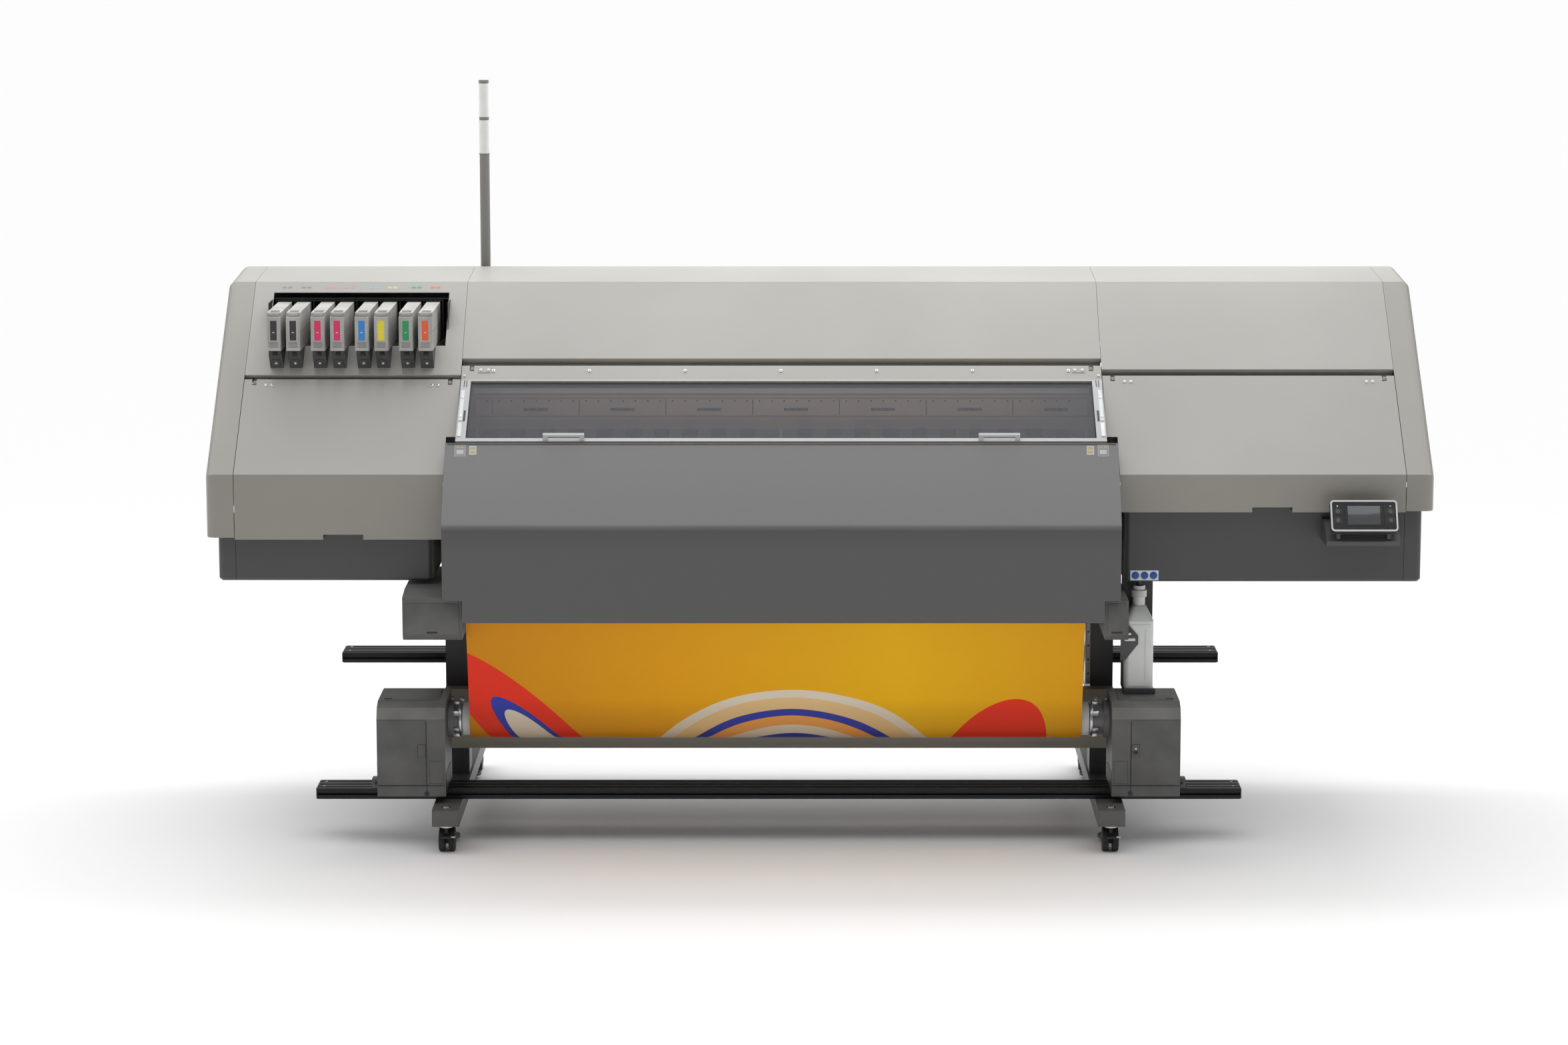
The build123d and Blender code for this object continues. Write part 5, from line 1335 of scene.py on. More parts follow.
class InkSupply(SubAssembly):
    """Cartridges with colour labels, their guides and the marks over the opening."""

    INKS = ("label_black", "label_black", "label_magenta", "label_magenta",
            "label_blue", "label_yellow", "label_green", "label_orange")

    def build(self) -> None:
        """Dress the ink supply and detail each cartridge."""
        self.dress("cartridge_bay", "black_plastic")
        self.dress("cartridge_guides", "guide_grey")
        for number, ink in enumerate(self.INKS, 1):
            self.dress(f"ink_cartridge_{number}", "cartridge")
            self.cartridge(number, self.palette[ink])
            self.guide(number)
        self.colour_marks()
        self.opening_liner()

    def cartridge(self, number: int, ink: Material) -> None:
        """Label, front frame, grip ribs, catch and side seams of one cartridge; the ribs take a darker copy
        of the moulding as painted shade, and the seams take it as dark joints.

        Args:
            number: which cartridge, from the left.
            ink: the label's finish.
        """
        node = f"ink_cartridge_{number}"
        low, high = self.box(node)
        middle = (low.x + high.x) / 2
        # Darker copy of the moulding: painted shade on the ribs, and the dark seams.
        shade = self.palette["cartridge_shade"]
        label = Piece(f"cartridge_{number}_label")
        label.bar(middle, 0.0085, (low.y - 0.0007, low.y + 0.0003), (low.z + 0.028, high.z - 0.020), ink,
                  0.0003, segments=1)
        white = self.palette["white_plastic"]
        label.bar(middle, 0.0028, (low.y - 0.00085, low.y - 0.0004), (low.z + 0.0480, low.z + 0.0500),
                  white)
        label.finish(node, "cartridge_grey")
        face = Piece(f"cartridge_{number}_face")
        rib = 0.0016
        for side in (-1, 1):
            edge = middle + side * 0.0145
            face.bar(edge, rib / 2, (low.y - 0.0012, low.y + 0.0004), (low.z + 0.006, high.z - 0.013),
                     self.palette["cartridge"], 0.0004, segments=1)
        face.bar(middle, 0.0145, (low.y - 0.0012, low.y + 0.0004), (high.z - 0.0150, high.z - 0.0134),
                 self.palette["cartridge"], 0.0004, segments=1)
        for step in range(5):
            z = low.z + 0.0085 + step * 0.0035
            face.bar(middle, 0.0115, (low.y - 0.0010, low.y + 0.0003), (z, z + 0.0015), shade, 0.0002,
                     segments=1)
        face.finish(node, "cartridge_grey")
        top = Piece(f"cartridge_{number}_top")
        for step in range(4):
            y = low.y + 0.024 + step * 0.009
            top.bar(middle, 0.012, (y, y + 0.004), (high.z - 0.0004, high.z + 0.0008), shade, 0.0003,
                    segments=1)
        top.bar(middle, 0.0130, (low.y + 0.0105, low.y + 0.0136), (high.z - 0.0092, high.z - 0.0012),
                self.palette["cartridge"], 0.0006, segments=1)
        top.finish(node, "cartridge_grey")
        seam = Piece(f"cartridge_{number}_seam")
        for x in (low.x, high.x):
            seam.bar(x, 0.00025, (low.y + 0.020, high.y - 0.02), (low.z + 0.0485, low.z + 0.0500), shade)
        seam.finish(node, "cartridge_grey")

    def guide(self, number: int) -> None:
        """Clip, latch and lamp on the guide below a cartridge.

        Args:
            number: which guide, from the left.
        """
        low, high = self.box(f"ink_cartridge_{number}")
        guide_low, guide_high = self.box("cartridge_guides")
        middle = (low.x + high.x) / 2
        piece = Piece(f"cartridge_guide_{number}_clip")
        grey, black = self.palette["guide_grey"], self.palette["black_plastic"]
        place = self.skin.front("cartridge_guides", middle, guide_high.z - 0.007)
        piece.block((-0.0155, -0.0050, -0.0004), (0.0155, 0.0050, 0.0050), grey, 0.0012, place)
        piece.block((-0.0060, -0.0090, -0.0004), (0.0060, 0.0010, 0.0085), black, 0.0014, place)
        spot = self.skin.front("cartridge_guides", middle, guide_low.z + 0.016)
        piece.block((-0.0105, -0.0100, -0.0006), (0.0105, 0.0115, 0.0022), grey, 0.0010, spot)
        piece.disc((0, 0.0005, 0.0026), 0.0034, 0.0018, self.palette["white_plastic"], bevel=0.0004,
                   sides=16, place=spot)
        piece.finish("root", "guide_black")

    def colour_marks(self) -> None:
        """Two small colour marks on the panel over each cartridge."""
        top = self.box("ink_cartridge_1")[1].z + 0.036
        piece = Piece("ink_colour_marks")
        marks = ("mark_grey", "mark_grey", "mark_pink", "mark_pink", "mark_cyan", "mark_yellow",
                 "mark_green", "mark_red")
        for number, mark in enumerate(marks, 1):
            low, high = self.box(f"ink_cartridge_{number}")
            place = self.skin.front("cartridge_panel", (low.x + high.x) / 2 + 0.004, top)
            for offset in (-0.0075, 0.0075):
                spot = place @ Matrix.Translation((offset, 0, 0))
                plate(piece, spot, 0.0115, 0.0062, 0.0003, self.palette[mark], 0.0001)
        piece.finish("root", "cartridge_grey")

    def opening_liner(self) -> None:
        """Black liner behind the opening in the panel."""
        rear = self.box("cartridge_bay")[1].y - 0.010
        first = self.box("ink_cartridge_1")[0]
        last = self.box("ink_cartridge_8")[1]
        piece = Piece("cartridge_opening_liner")
        black = self.palette["black_plastic"]
        piece.block((first.x - 0.0150, 0.085, last.z + 0.0080), (last.x + 0.0290, rear, last.z + 0.0100),
                    black)
        piece.block((last.x + 0.0270, 0.000, first.z), (last.x + 0.0285, rear, last.z + 0.0080), black)
        piece.block((first.x - 0.0150, 0.000, first.z), (first.x - 0.0135, rear, last.z + 0.0080), black)
        piece.finish("root", "guide_black")


class OperatorPanel(SubAssembly):
    """Tilting console with a silver rim, a dark screen and four keys."""

    def build(self) -> None:
        """Dress the console and add its rim, screen and marks."""
        self.dress("control_panel", "black_plastic")
        self.dress("panel_base", "charcoal")
        for number in range(1, 5):
            self.dress(f"panel_key_{number}", "key_grey")
        self.rim()
        self.screen()
        self.key_marks()
        self.base_ribs()

    def face(self, x: float = 0.0, y: float = 0.0) -> Matrix:
        """Place on the console's sloping face.

        Args:
            x: distance right of its middle.
            y: distance up the slope from its middle.

        Returns:
            The placing matrix.
        """
        low, high = self.box("control_panel")
        middle = (low.x + high.x) / 2
        rim = self.skin.front("control_panel", middle + 0.060, (low.z + high.z) / 2 + 0.004)
        normal = rim.to_3x3().col[2]
        base = self.skin.front("control_panel", middle + 0.060, low.z + 0.016)
        flat = seated(base.translation, normal)
        centre = flat @ Matrix.Translation((-0.060 + x, 0.034 + y, 0))
        return centre

    def rim(self) -> None:
        """Bright rounded rim round the console's face."""
        width, height = 0.172, 0.084
        place = self.face()
        piece = Piece("console_rim")
        corner, wide, thick = 0.0090, 0.0042, 0.0020
        outline = rounded(width, height, corner, 6)
        inner = rounded(width - 2 * wide, height - 2 * wide, corner - wide * 0.8, 6)
        ring(piece, outline, inner, -0.0006, thick, self.palette["console_silver"], place)
        piece.finish("control_panel", "console_black")

    def screen(self) -> None:
        """Screen glass in its recess, with a thin bezel."""
        place = self.face(0, 0.002)
        piece = Piece("console_screen")
        piece.block((-0.0420, -0.0255, -0.0016), (0.0420, 0.0255, -0.0007), self.palette["screen_grey"],
                    0.0003, place)
        piece.finish("control_panel", "console_black")
        bezel = Piece("console_bezel")
        ring(bezel, rounded(0.1010, 0.0590, 0.002, 3), rounded(0.0845, 0.0515, 0.001, 3), -0.0016, -0.0004,
             self.palette["black_plastic"], place)
        bezel.finish("control_panel", "console_black")

    def key_marks(self) -> None:
        """Marks and lamps beside the keys."""
        piece = Piece("console_key_marks")
        for side in (-1, 1):
            for y in (-0.012, 0.012):
                ring(piece, rounded(0.0190, 0.0150, 0.004, 4), rounded(0.0166, 0.0126, 0.003, 4), -0.0001,
                     0.0006, self.palette["key_grey"], self.face(side * 0.068, y))
            lamp = self.face(side * 0.068, 0.0265)
            piece.disc((0, 0, 0.0002), 0.0020, 0.0010, self.palette["lens"], bevel=0.0003, sides=14,
                       place=lamp)
        piece.finish("control_panel", "key_grey")

    def base_ribs(self) -> None:
        """Ribs on the front of the panel's base."""
        low, high = self.box("panel_base")
        piece = Piece("panel_base_ribs")
        grey = self.palette["guide_grey"]
        for step in range(3):
            z = low.z + 0.012 + step * 0.006
            place = self.skin.front("panel_base", (low.x + high.x) / 2, z)
            piece.block((-0.055, -0.0008, -0.0006), (0.055, 0.0008, 0.0007), grey, place=place)
        piece.finish("root", "dark_shell")


class DryerCover(SubAssembly):
    """Dark bent cover over the dryer, with side screws and plain label plates."""

    CHEEK_SCREWS = ((-0.420, 0.880), (-0.440, 0.820), (-0.440, 0.720), (-0.380, 0.960), (-0.335, 0.930))

    def build(self) -> None:
        """Dress the cover and add its fittings."""
        # The dryer finish carries painted light on the slope and painted shade below the bend.
        self.dress("dryer_cover", "dryer")
        self.labels()
        self.side_screws()
        self.top_edge()

    def labels(self) -> None:
        """Plain plates at both top corners, without any text."""
        low, high = self.box("dryer_cover")
        piece = Piece("dryer_plates")
        light, mid = self.palette["light_plate"], self.palette["mark_grey"]
        for side, edge in ((Side.LEFT, low.x), (Side.RIGHT, high.x)):
            inward = -side.value
            outer = self.skin.front("dryer_cover", edge + inward * 0.040, high.z - 0.018)
            plate(piece, outer, 0.028, 0.032, 0.0006, light, 0.0002)
            plate(piece, outer @ Matrix.Translation((0, 0, 0.0005)), 0.0255, 0.0295, 0.0003, mid, 0.0001)
            for step in (-0.0055, 0.0055):
                plate(piece, outer @ Matrix.Translation((step, 0.0095, 0.0007)), 0.008, 0.0055, 0.0003,
                      self.palette["mark_sand"], 0.0001)
            plate(piece, outer @ Matrix.Translation((0, -0.0040, 0.0007)), 0.018, 0.012, 0.0003,
                  self.palette["light_plate"], 0.0001)
            inner = self.skin.front("dryer_cover", edge + inward * 0.073, high.z - 0.017)
            plate(piece, inner, 0.019, 0.026, 0.0006, light, 0.0002)
            for step in (-0.0055, 0.0055):
                spot = inner @ Matrix.Translation((0, step, 0.0005))
                plate(piece, spot, 0.0125, 0.0065, 0.0003, self.palette["mark_sand"], 0.0001)
        piece.finish("root", "lid_white")

    def side_screws(self) -> None:
        """Screws down both cheeks of the cover."""
        for side in Side:
            piece = Piece(f"dryer_screws_{side.name.lower()}")
            for y, z in self.CHEEK_SCREWS:
                self.fasten(piece, self.skin.side("dryer_cover", y, z, side), 0.005)
            piece.finish("root", "roller_steel")

    def top_edge(self) -> None:
        """Thin grey seal along the cover's top edge, under the window."""
        low, high = self.box("dryer_cover")
        piece = Piece("dryer_top_seal")
        place = self.skin.front("dryer_cover", (low.x + high.x) / 2, high.z - 0.003)
        half = (high.x - low.x) / 2 - 0.006
        piece.block((-half, -0.0016, -0.0004), (half, 0.0020, 0.0012), self.palette["grey_rubber"],
                    0.0005, place)
        piece.finish("root", "pinch_rubber")


class TakeUp(SubAssembly):
    """Motor housings on the front rail and the wound roll between them."""

    def build(self) -> None:
        """Dress the take-up and add its fittings."""
        axis = self.pivot("takeup_roll_turn")
        low, high = self.box("media_web")

        def off_axis(centre: Vector) -> float:
            """Distance of a face from the roll's axis."""
            return Vector((centre.y - axis.y, centre.z - axis.z)).length

        # The wound roll's outside takes the printed finish, painted shade included.
        rules = (
            ("printed_web", lambda c, n: low.x - 0.001 < c.x < high.x + 0.001 and off_axis(c) > 0.047
             and abs(n.x) < 0.5),
            ("blank_media", lambda c, n: abs(n.x) > 0.5 and low.x - 0.002 < c.x < high.x + 0.002),
            ("steel", lambda c, n: off_axis(c) < 0.014),
            ("chuck_grey", lambda c, n: not low.x - 0.002 < c.x < high.x + 0.002),
        )
        self.dress("takeup_roll", "chuck_grey", rules)
        for side in (Side.LEFT, Side.RIGHT):
            node = f"takeup_housing_{side.name.lower()}"
            # Faces that look up take the lighter copy of the moulding: painted light from above.
            self.dress(node, "housing", (("housing_light", lambda c, n: n.z > 0.25),))
            self.panels(node, side)
            self.plates(node, side)
            self.handle(node, side)
            self.chuck(side, axis)

    def panels(self, node: str, side: Side) -> None:
        """Seams and front cover of one housing.

        Args:
            node: the housing.
            side: which side it is on.
        """
        low, high = self.box(node)
        out, inn = (low.x, high.x) if side is Side.LEFT else (high.x, low.x)
        seam = Piece(f"{node}_seams")
        black = self.palette["seam_black"]
        split = inn + side.value * 0.049
        front = low.y
        seam.bar(split, 0.0010, (front - 0.0004, front + 0.001), (low.z + 0.008, high.z - 0.044), black)
        seam.block((low.x + 0.002, front - 0.0020, low.z + 0.0285), (high.x - 0.002, front + 0.001,
                   low.z + 0.0298), black)
        seam.disc((split, front + 0.0006, low.z + 0.0075), 0.0062, 0.0040, black, Turn.Y, sides=18)
        left, right = sorted((inn + side.value * 0.006, split - side.value * 0.008))
        for z in (low.z + 0.034, low.z + 0.094):
            seam.block((left, front - 0.0003, z), (right, front + 0.001, z + 0.0009), black)
        for x in (left, right):
            seam.bar(x, 0.00045, (front - 0.0003, front + 0.001), (low.z + 0.034, low.z + 0.0949), black)
        seam.finish(node, "housing_grey")
        skirt = Piece(f"{node}_cover")
        thick = 0.0016
        cover_low = min(out, split) + (0.003 if side is Side.LEFT else 0.002)
        cover_high = max(out, split) - (0.002 if side is Side.LEFT else 0.003)
        skirt.block((cover_low, front - thick, low.z + 0.0305), (cover_high, front + 0.0004, high.z - 0.043),
                    self.palette["housing"], 0.0012)
        skirt.finish(node, "housing_grey")
        self.latch(node, side, split, front, low.z + 0.102)

    def latch(self, node: str, side: Side, split: float, front: float, level: float) -> None:
        """Small door beside a housing's seam, with a grip and a lock on the right one.

        Args:
            node: the housing.
            side: which side it is on.
            split: the seam's place along X.
            front: the housing's front face along Y.
            level: the door's foot.
        """
        piece = Piece(f"{node}_latch")
        mid = split + side.value * 0.0125
        piece.bar(mid, 0.0105, (front - 0.0022, front + 0.0004), (level + 0.0030, level + 0.0370),
                  self.palette["seam_black"], 0.0004)
        piece.bar(mid, 0.0096, (front - 0.0030, front - 0.0010), (level + 0.0039, level + 0.0361),
                  self.palette["housing"], 0.0008)
        if side is Side.RIGHT:
            piece.bar(mid, 0.0060, (front - 0.0070, front - 0.0015), (level + 0.0120, level + 0.0190),
                      self.palette["black_plastic"], 0.0012)
            piece.disc((mid, front - 0.0030, level + 0.0265), 0.0026, 0.0030, self.palette["zinc"],
                       Turn.Y, 0.0005, 14)
        piece.finish(node, "housing_grey")

    def plates(self, node: str, side: Side) -> None:
        """Raised plates with screws on a housing's top and outer side.

        Args:
            node: the housing.
            side: which side it is on.
        """
        low, high = self.box(node)
        out = low.x if side is Side.LEFT else high.x
        black = self.palette["seam_black"]
        crown = Piece(f"{node}_top_plate")
        # The top plate takes the lighter copy of the moulding: painted light from above.
        crown.bar((low.x + high.x) / 2, 0.070, (low.y + 0.046, high.y - 0.012),
                  (high.z - 0.0004, high.z + 0.0018), self.palette["housing_light"], 0.0016)
        crown.bar(out - side.value * 0.026, 0.010, (low.y + 0.052, low.y + 0.058),
                  (high.z + 0.0010, high.z + 0.0028), black, 0.0004)
        crown.finish(node, "housing_grey")
        flank = Piece(f"{node}_side_plate")
        flank.bar(out, 0.0014, (low.y + 0.045, high.y - 0.020), (low.z + 0.030, high.z - 0.030),
                  self.palette["housing"], 0.0010)
        for y in (low.y + 0.055, high.y - 0.030):
            for z in (low.z + 0.040, high.z - 0.040):
                flank.disc((out + side.value * 0.0018, y, z), 0.0036, 0.0016, black, Turn.X, 0.0004, 14)
        flank.finish(node, "housing_grey")

    def handle(self, node: str, side: Side) -> None:
        """Clamp bar and knob that lock a housing to its rail.

        Args:
            node: the housing.
            side: which side it is on.
        """
        low, high = self.box(node)
        out = low.x if side is Side.LEFT else high.x
        outward = side.value
        piece = Piece(f"{node}_clamp")
        foot = low.z + 0.0006
        near, far = sorted((out, out + outward * 0.024))
        piece.block((near, low.y + 0.078, foot), (far, high.y - 0.040, foot + 0.012),
                    self.palette["seam_black"], 0.0012)
        near, far = sorted((out, out + outward * 0.0200))
        piece.block((near, low.y + 0.052, foot), (far, low.y + 0.080, foot + 0.034),
                    self.palette["housing"], 0.0015)
        piece.disc((out + outward * 0.010, low.y + 0.0515, foot + 0.022), 0.0042, 0.0030,
                   self.palette["seam_black"], Turn.Y, 0.0005, 6)
        piece.finish(node, "roller_steel")
        inner = high.x if side is Side.LEFT else low.x
        pad = Piece(f"{node}_inner_skirt")
        step = -outward * 0.0012
        near, far = sorted((inner, inner + step))
        pad.block((near, low.y + 0.006, low.z + 0.004), (far, high.y - 0.050, low.z + 0.060),
                  self.palette["seam_black"], 0.0003, segments=1)
        pad.finish(node, "housing_grey")

    def chuck(self, side: Side, axis: Vector) -> None:
        """Bright jaws, core end and bolts beside one end of the wound media.

        Args:
            side: which end.
            axis: a point on the roll's axis.
        """
        low, high = self.box("media_web")
        edge = low.x if side is Side.LEFT else high.x
        outward = side.value
        piece = Piece(f"takeup_chuck_{side.name.lower()}")
        steel = self.palette["clear_aluminium"]
        core = Vector((edge + outward * 0.011, axis.y, axis.z))
        piece.disc(core, 0.0436, 0.020, self.palette["core_card"], Turn.X, 0.0012, 48)
        collar = Vector((edge + outward * 0.027, axis.y, axis.z))
        piece.disc(collar, 0.0466, 0.008, steel, Turn.X, 0.0015, 48)
        for index in range(6):
            angle = index * math.pi / 3
            turn = Matrix.Translation((edge, axis.y, axis.z)) @ Matrix.Rotation(angle, 4, "X")
            x0, x1 = sorted((outward * 0.030, outward * 0.046))
            piece.block((x0, -0.007, 0.0385), (x1, 0.007, 0.0475), steel, 0.0012, turn)
            spot = turn @ Matrix.Translation((outward * 0.0325, 0.020, 0.030))
            piece.disc((0, 0, 0), 0.0030, 0.006, self.palette["zinc"], Turn.X, 0.0005, 10, place=spot)
        piece.finish("takeup_roll", "roller_steel")


class Supply(SubAssembly):
    """Blank supply roll at the rear and its two housings."""

    def build(self) -> None:
        """Dress the supply side and add its fittings."""
        axis = self.pivot("supply_roll_turn")
        low, high = self.box("media_web")

        def off_axis(centre: Vector) -> float:
            """Distance of a face from the roll's axis."""
            return Vector((centre.y - axis.y, centre.z - axis.z)).length

        rules = (
            ("blank_media", lambda c, n: low.x - 0.001 < c.x < high.x + 0.001),
            ("steel", lambda c, n: off_axis(c) < 0.014),
        )
        self.dress("supply_roll", "chuck_grey", rules)
        self.dress("supply_housings", "housing")
        self.wraps(axis)
        self.plates()

    def wraps(self, axis: Vector) -> None:
        """Round edge lines and card core at both ends of the roll.

        Args:
            axis: a point on the roll's axis.
        """
        low, high = self.box("media_web")
        for side, edge in ((Side.LEFT, low.x), (Side.RIGHT, high.x)):
            piece = Piece(f"supply_roll_end_{side.name.lower()}")
            for radius in (0.052, 0.060, 0.068, 0.076):
                outer, inner = circle(radius, 48), circle(radius - 0.0008, 48)
                place = Matrix.Translation((edge, axis.y, axis.z)) @ turned(Turn.X)
                lift = 0.0004 * side.value
                ring(piece, outer, inner, min(0.0, lift), max(0.0, lift), self.palette["mark_grey"], place)
            piece.disc((edge + side.value * 0.010, axis.y, axis.z), 0.0430, 0.020, self.palette["core_card"],
                       Turn.X, 0.0012, 48)
            piece.finish("supply_roll", "media_paper")

    def plates(self) -> None:
        """Cover plates, levers and screws of the two supply housings."""
        low, high = self.box("supply_housings")
        for side, edge in ((Side.LEFT, low.x), (Side.RIGHT, high.x)):
            piece = Piece(f"supply_housing_plate_{side.name.lower()}")
            piece.bar(edge, 0.0014, (low.y + 0.020, high.y - 0.015), (0.400, high.z - 0.040),
                      self.palette["housing"], 0.0010)
            for y in (low.y + 0.032, high.y - 0.028):
                for z in (0.412, high.z - 0.052):
                    piece.disc((edge + side.value * 0.0018, y, z), 0.0038, 0.0016, self.palette["zinc"],
                               Turn.X, 0.0004, 14)
            piece.finish("root", "housing_grey")
            lever = Piece(f"supply_lever_{side.name.lower()}")
            middle = edge - side.value * 0.031
            lever.disc((middle, high.y + 0.004, 0.455), 0.012, 0.009, self.palette["seam_black"], Turn.Y,
                       0.001, 24)
            lever.bar(middle, 0.006, (high.y + 0.0075, high.y + 0.0155), (0.452, 0.520),
                      self.palette["seam_black"], 0.003)
            lever.finish("root", "guide_black")


class Stand(SubAssembly):
    """Legs, rails, crossbar and service boxes."""

    def build(self) -> None:
        """Dress the stand and add its fittings."""
        for node in ("leg_left", "leg_right"):
            foot = (("zinc", lambda c, n: c.z < 0.0750), ("stand_grey", lambda c, n: c.z < 0.1210))
            self.dress(node, "stand_black", foot)
        self.dress("lower_crossbar", "crossbar_taupe")
        for node in ("front_rail", "rear_rail"):
            self.dress(node, "rail_black")
            self.rail_ends(node)
        for node in ("service_box_left", "service_box_right"):
            # Faces that look up take the lighter copy of the moulding: painted light from above.
            self.dress(node, "housing", (("housing_light", lambda c, n: n.z > 0.25),))
            self.box_plate(node)
        self.column_strips()
        self.crossbar_bolts()
        self.foot_plates()

    def rail_ends(self, node: str) -> None:
        """End caps and screws of one rail.

        Args:
            node: the rail.
        """
        low, high = self.box(node)
        piece = Piece(f"{node}_ends")
        black = self.palette["black_plastic"]
        for side, edge in ((Side.LEFT, low.x), (Side.RIGHT, high.x)):
            near, far = sorted((edge, edge + side.value * 0.0035))
            piece.block((near, low.y + 0.0008, low.z + 0.0006), (far, high.y - 0.0008, high.z - 0.0006),
                        black, 0.0010)
            for y in (low.y + 0.022, high.y - 0.022):
                piece.disc((edge + side.value * 0.0038, y, (low.z + high.z) / 2), 0.0040, 0.0016,
                           self.palette["steel"], Turn.X, 0.0004, 12)
            for y in (low.y + 0.022, high.y - 0.022):
                place = seated(Vector((edge - side.value * 0.016, y, high.z)), UP)
                self.fasten(piece, place, 0.0038)
        piece.finish("root", "black_rail")

    def box_plate(self, node: str) -> None:
        """Raised lid and screws on a service box's front.

        Args:
            node: the box.
        """
        low, high = self.box(node)
        piece = Piece(f"{node}_lid")
        left, right = low.x + 0.006, high.x - 0.006
        bottom, top = low.z + 0.016, low.z + 0.098
        piece.block((left, low.y - 0.0014, bottom), (right, low.y + 0.0004, top), self.palette["housing"],
                    0.0010)
        grip = (left + right) / 2
        piece.bar(grip, 0.014, (low.y - 0.0020, low.y - 0.0010), (bottom + 0.003, bottom + 0.008),
                  self.palette["seam_black"], 0.0004)
        piece.finish("root", "housing_grey")

    def column_strips(self) -> None:
        """Bright strips with a row of holes inboard of the columns, beside the media."""
        for side, node in ((Side.LEFT, "leg_left"), (Side.RIGHT, "leg_right")):
            leg_low, leg_high = self.box(node)
            middle = (leg_low.x + leg_high.x) / 2
            edge = middle - side.value * 0.0300
            piece = Piece(f"column_strip_{side.name.lower()}")
            near, far = sorted((edge, edge - side.value * 0.0120))
            piece.block((near, -0.0890, 0.366), (far, -0.0870, 0.735), self.palette["silver_white"], 0.0004)
            side_near, side_far = sorted((far if side is Side.LEFT else near,
                                          (far if side is Side.LEFT else near) - side.value * 0.0016))
            piece.block((side_near, -0.0890, 0.366), (side_far, -0.0450, 0.735),
                        self.palette["silver_white"], 0.0004)
            for step in range(9):
                z = 0.395 + step * 0.038
                piece.disc(((near + far) / 2, -0.0892, z), 0.0026, 0.0010, self.palette["black_plastic"],
                           Turn.Y, sides=12)
            piece.finish("root", "lid_white")

    def crossbar_bolts(self) -> None:
        """Bolt heads in the crossbar's holes."""
        piece = Piece("crossbar_bolts")
        low, high = self.box("lower_crossbar")
        for node in ("leg_left", "leg_right"):
            leg_low, leg_high = self.box(node)
            middle = (leg_low.x + leg_high.x) / 2
            for offset in (-0.014, 0.014):
                centre = (middle + offset, low.y - 0.0015, high.z - 0.026)
                piece.disc(centre, 0.0068, 0.0050, self.palette["zinc"], Turn.Y, 0.0008, 6)
                piece.disc((centre[0], low.y + 0.0006, centre[2]), 0.0088, 0.0014, self.palette["steel"],
                           Turn.Y, 0.0003, 20)
        piece.finish("root", "roller_steel")

    def foot_plates(self) -> None:
        """End caps, bolts and washers of the foot beams."""
        for node in ("leg_left", "leg_right"):
            low, high = self.box(node)
            middle = (low.x + high.x) / 2
            piece = Piece(f"{node}_foot_fittings")
            steel = self.palette["zinc"]
            for y, side in ((low.y, -1), (high.y, 1)):
                near, far = sorted((y, y + side * 0.0018))
                piece.block((low.x + 0.0015, near, 0.0765), (high.x - 0.0015, far, 0.1190),
                            self.palette["stand_grey"], 0.0012)
            for y in (-0.445, 0.445, -0.215, 0.200):
                piece.disc((middle, y, 0.1215), 0.0085, 0.0040, steel, Turn.Z, 0.0008, 6)
                piece.disc((middle, y, 0.1204), 0.0120, 0.0012, self.palette["steel"], Turn.Z, 0.0003, 20)
            piece.finish("root", "dark_steel")


class Casters(SubAssembly):
    """Twin-wheel casters with bright stems, hubs and brake pedals."""

    def build(self) -> None:
        """Dress the casters and add their fittings."""
        for end in ("front", "rear"):
            for side in (Side.LEFT, Side.RIGHT):
                self.caster(f"{end}_{side.name.lower()}", end)

    def caster(self, name: str, end: str) -> None:
        """One caster.

        Args:
            name: its end and side.
            end: front or rear.
        """
        fork, wheels = f"caster_fork_{name}", f"caster_wheels_{name}"
        roll = self.pivot(f"caster_roll_{name}")
        swivel = self.pivot(f"caster_swivel_{name}")
        self.dress(fork, "black_plastic", (("zinc", lambda c, n: c.z > 0.0690),))
        tread = (("rubber", lambda c, n: Vector((c.y - roll.y, c.z - roll.z)).length > 0.0255),)
        self.dress(wheels, "black_plastic", tread)
        low, high = self.box(wheels)
        hub = Piece(f"{wheels}_hubs")
        for x, outward in ((low.x, -1), (high.x, 1)):
            hub.disc((x, roll.y, roll.z), 0.0190, 0.0014, self.palette["guide_grey"], Turn.X, 0.0005, 28)
            hub.disc((x + outward * 0.0008, roll.y, roll.z), 0.0075, 0.0022, self.palette["black_plastic"],
                     Turn.X, 0.0006, 20)
        hub.finish(wheels, "caster_black")
        hood = Piece(f"{fork}_hood")
        toward = 1 if end == "front" else -1
        arc = []
        for step in range(9):
            angle = math.radians(20 + step * 17.5)
            arc.append((roll.y + math.cos(angle) * 0.0335, roll.z + math.sin(angle) * 0.0335))
        inner = [(roll.y + (y - roll.y) * 0.925, roll.z + (z - roll.z) * 0.925) for y, z in reversed(arc)]
        hood.prism(arc + inner, low.x + 0.001, high.x - 0.001, self.palette["black_plastic"], 0.0006)
        hood.finish(fork, "caster_black")
        brake = Piece(f"{fork}_brake")
        start = roll.y - toward * 0.030
        near, far = sorted((start, start - toward * 0.020))
        brake.bar(swivel.x, 0.013, (near, far), (0.0440, 0.0485), self.palette["seam_black"], 0.0014)
        brake.disc((swivel.x + 0.0185, (near + far) / 2, 0.0462), 0.0022, 0.011, self.palette["zinc"],
                   Turn.X, 0.0004, 10)
        brake.finish(fork, "caster_black")
        stem = Piece(f"{fork}_stem_nut")
        stem.disc((swivel.x, swivel.y, 0.0722), 0.0120, 0.0048, self.palette["zinc"], Turn.Z, 0.0006, 6)
        stem.finish(fork, "roller_steel")


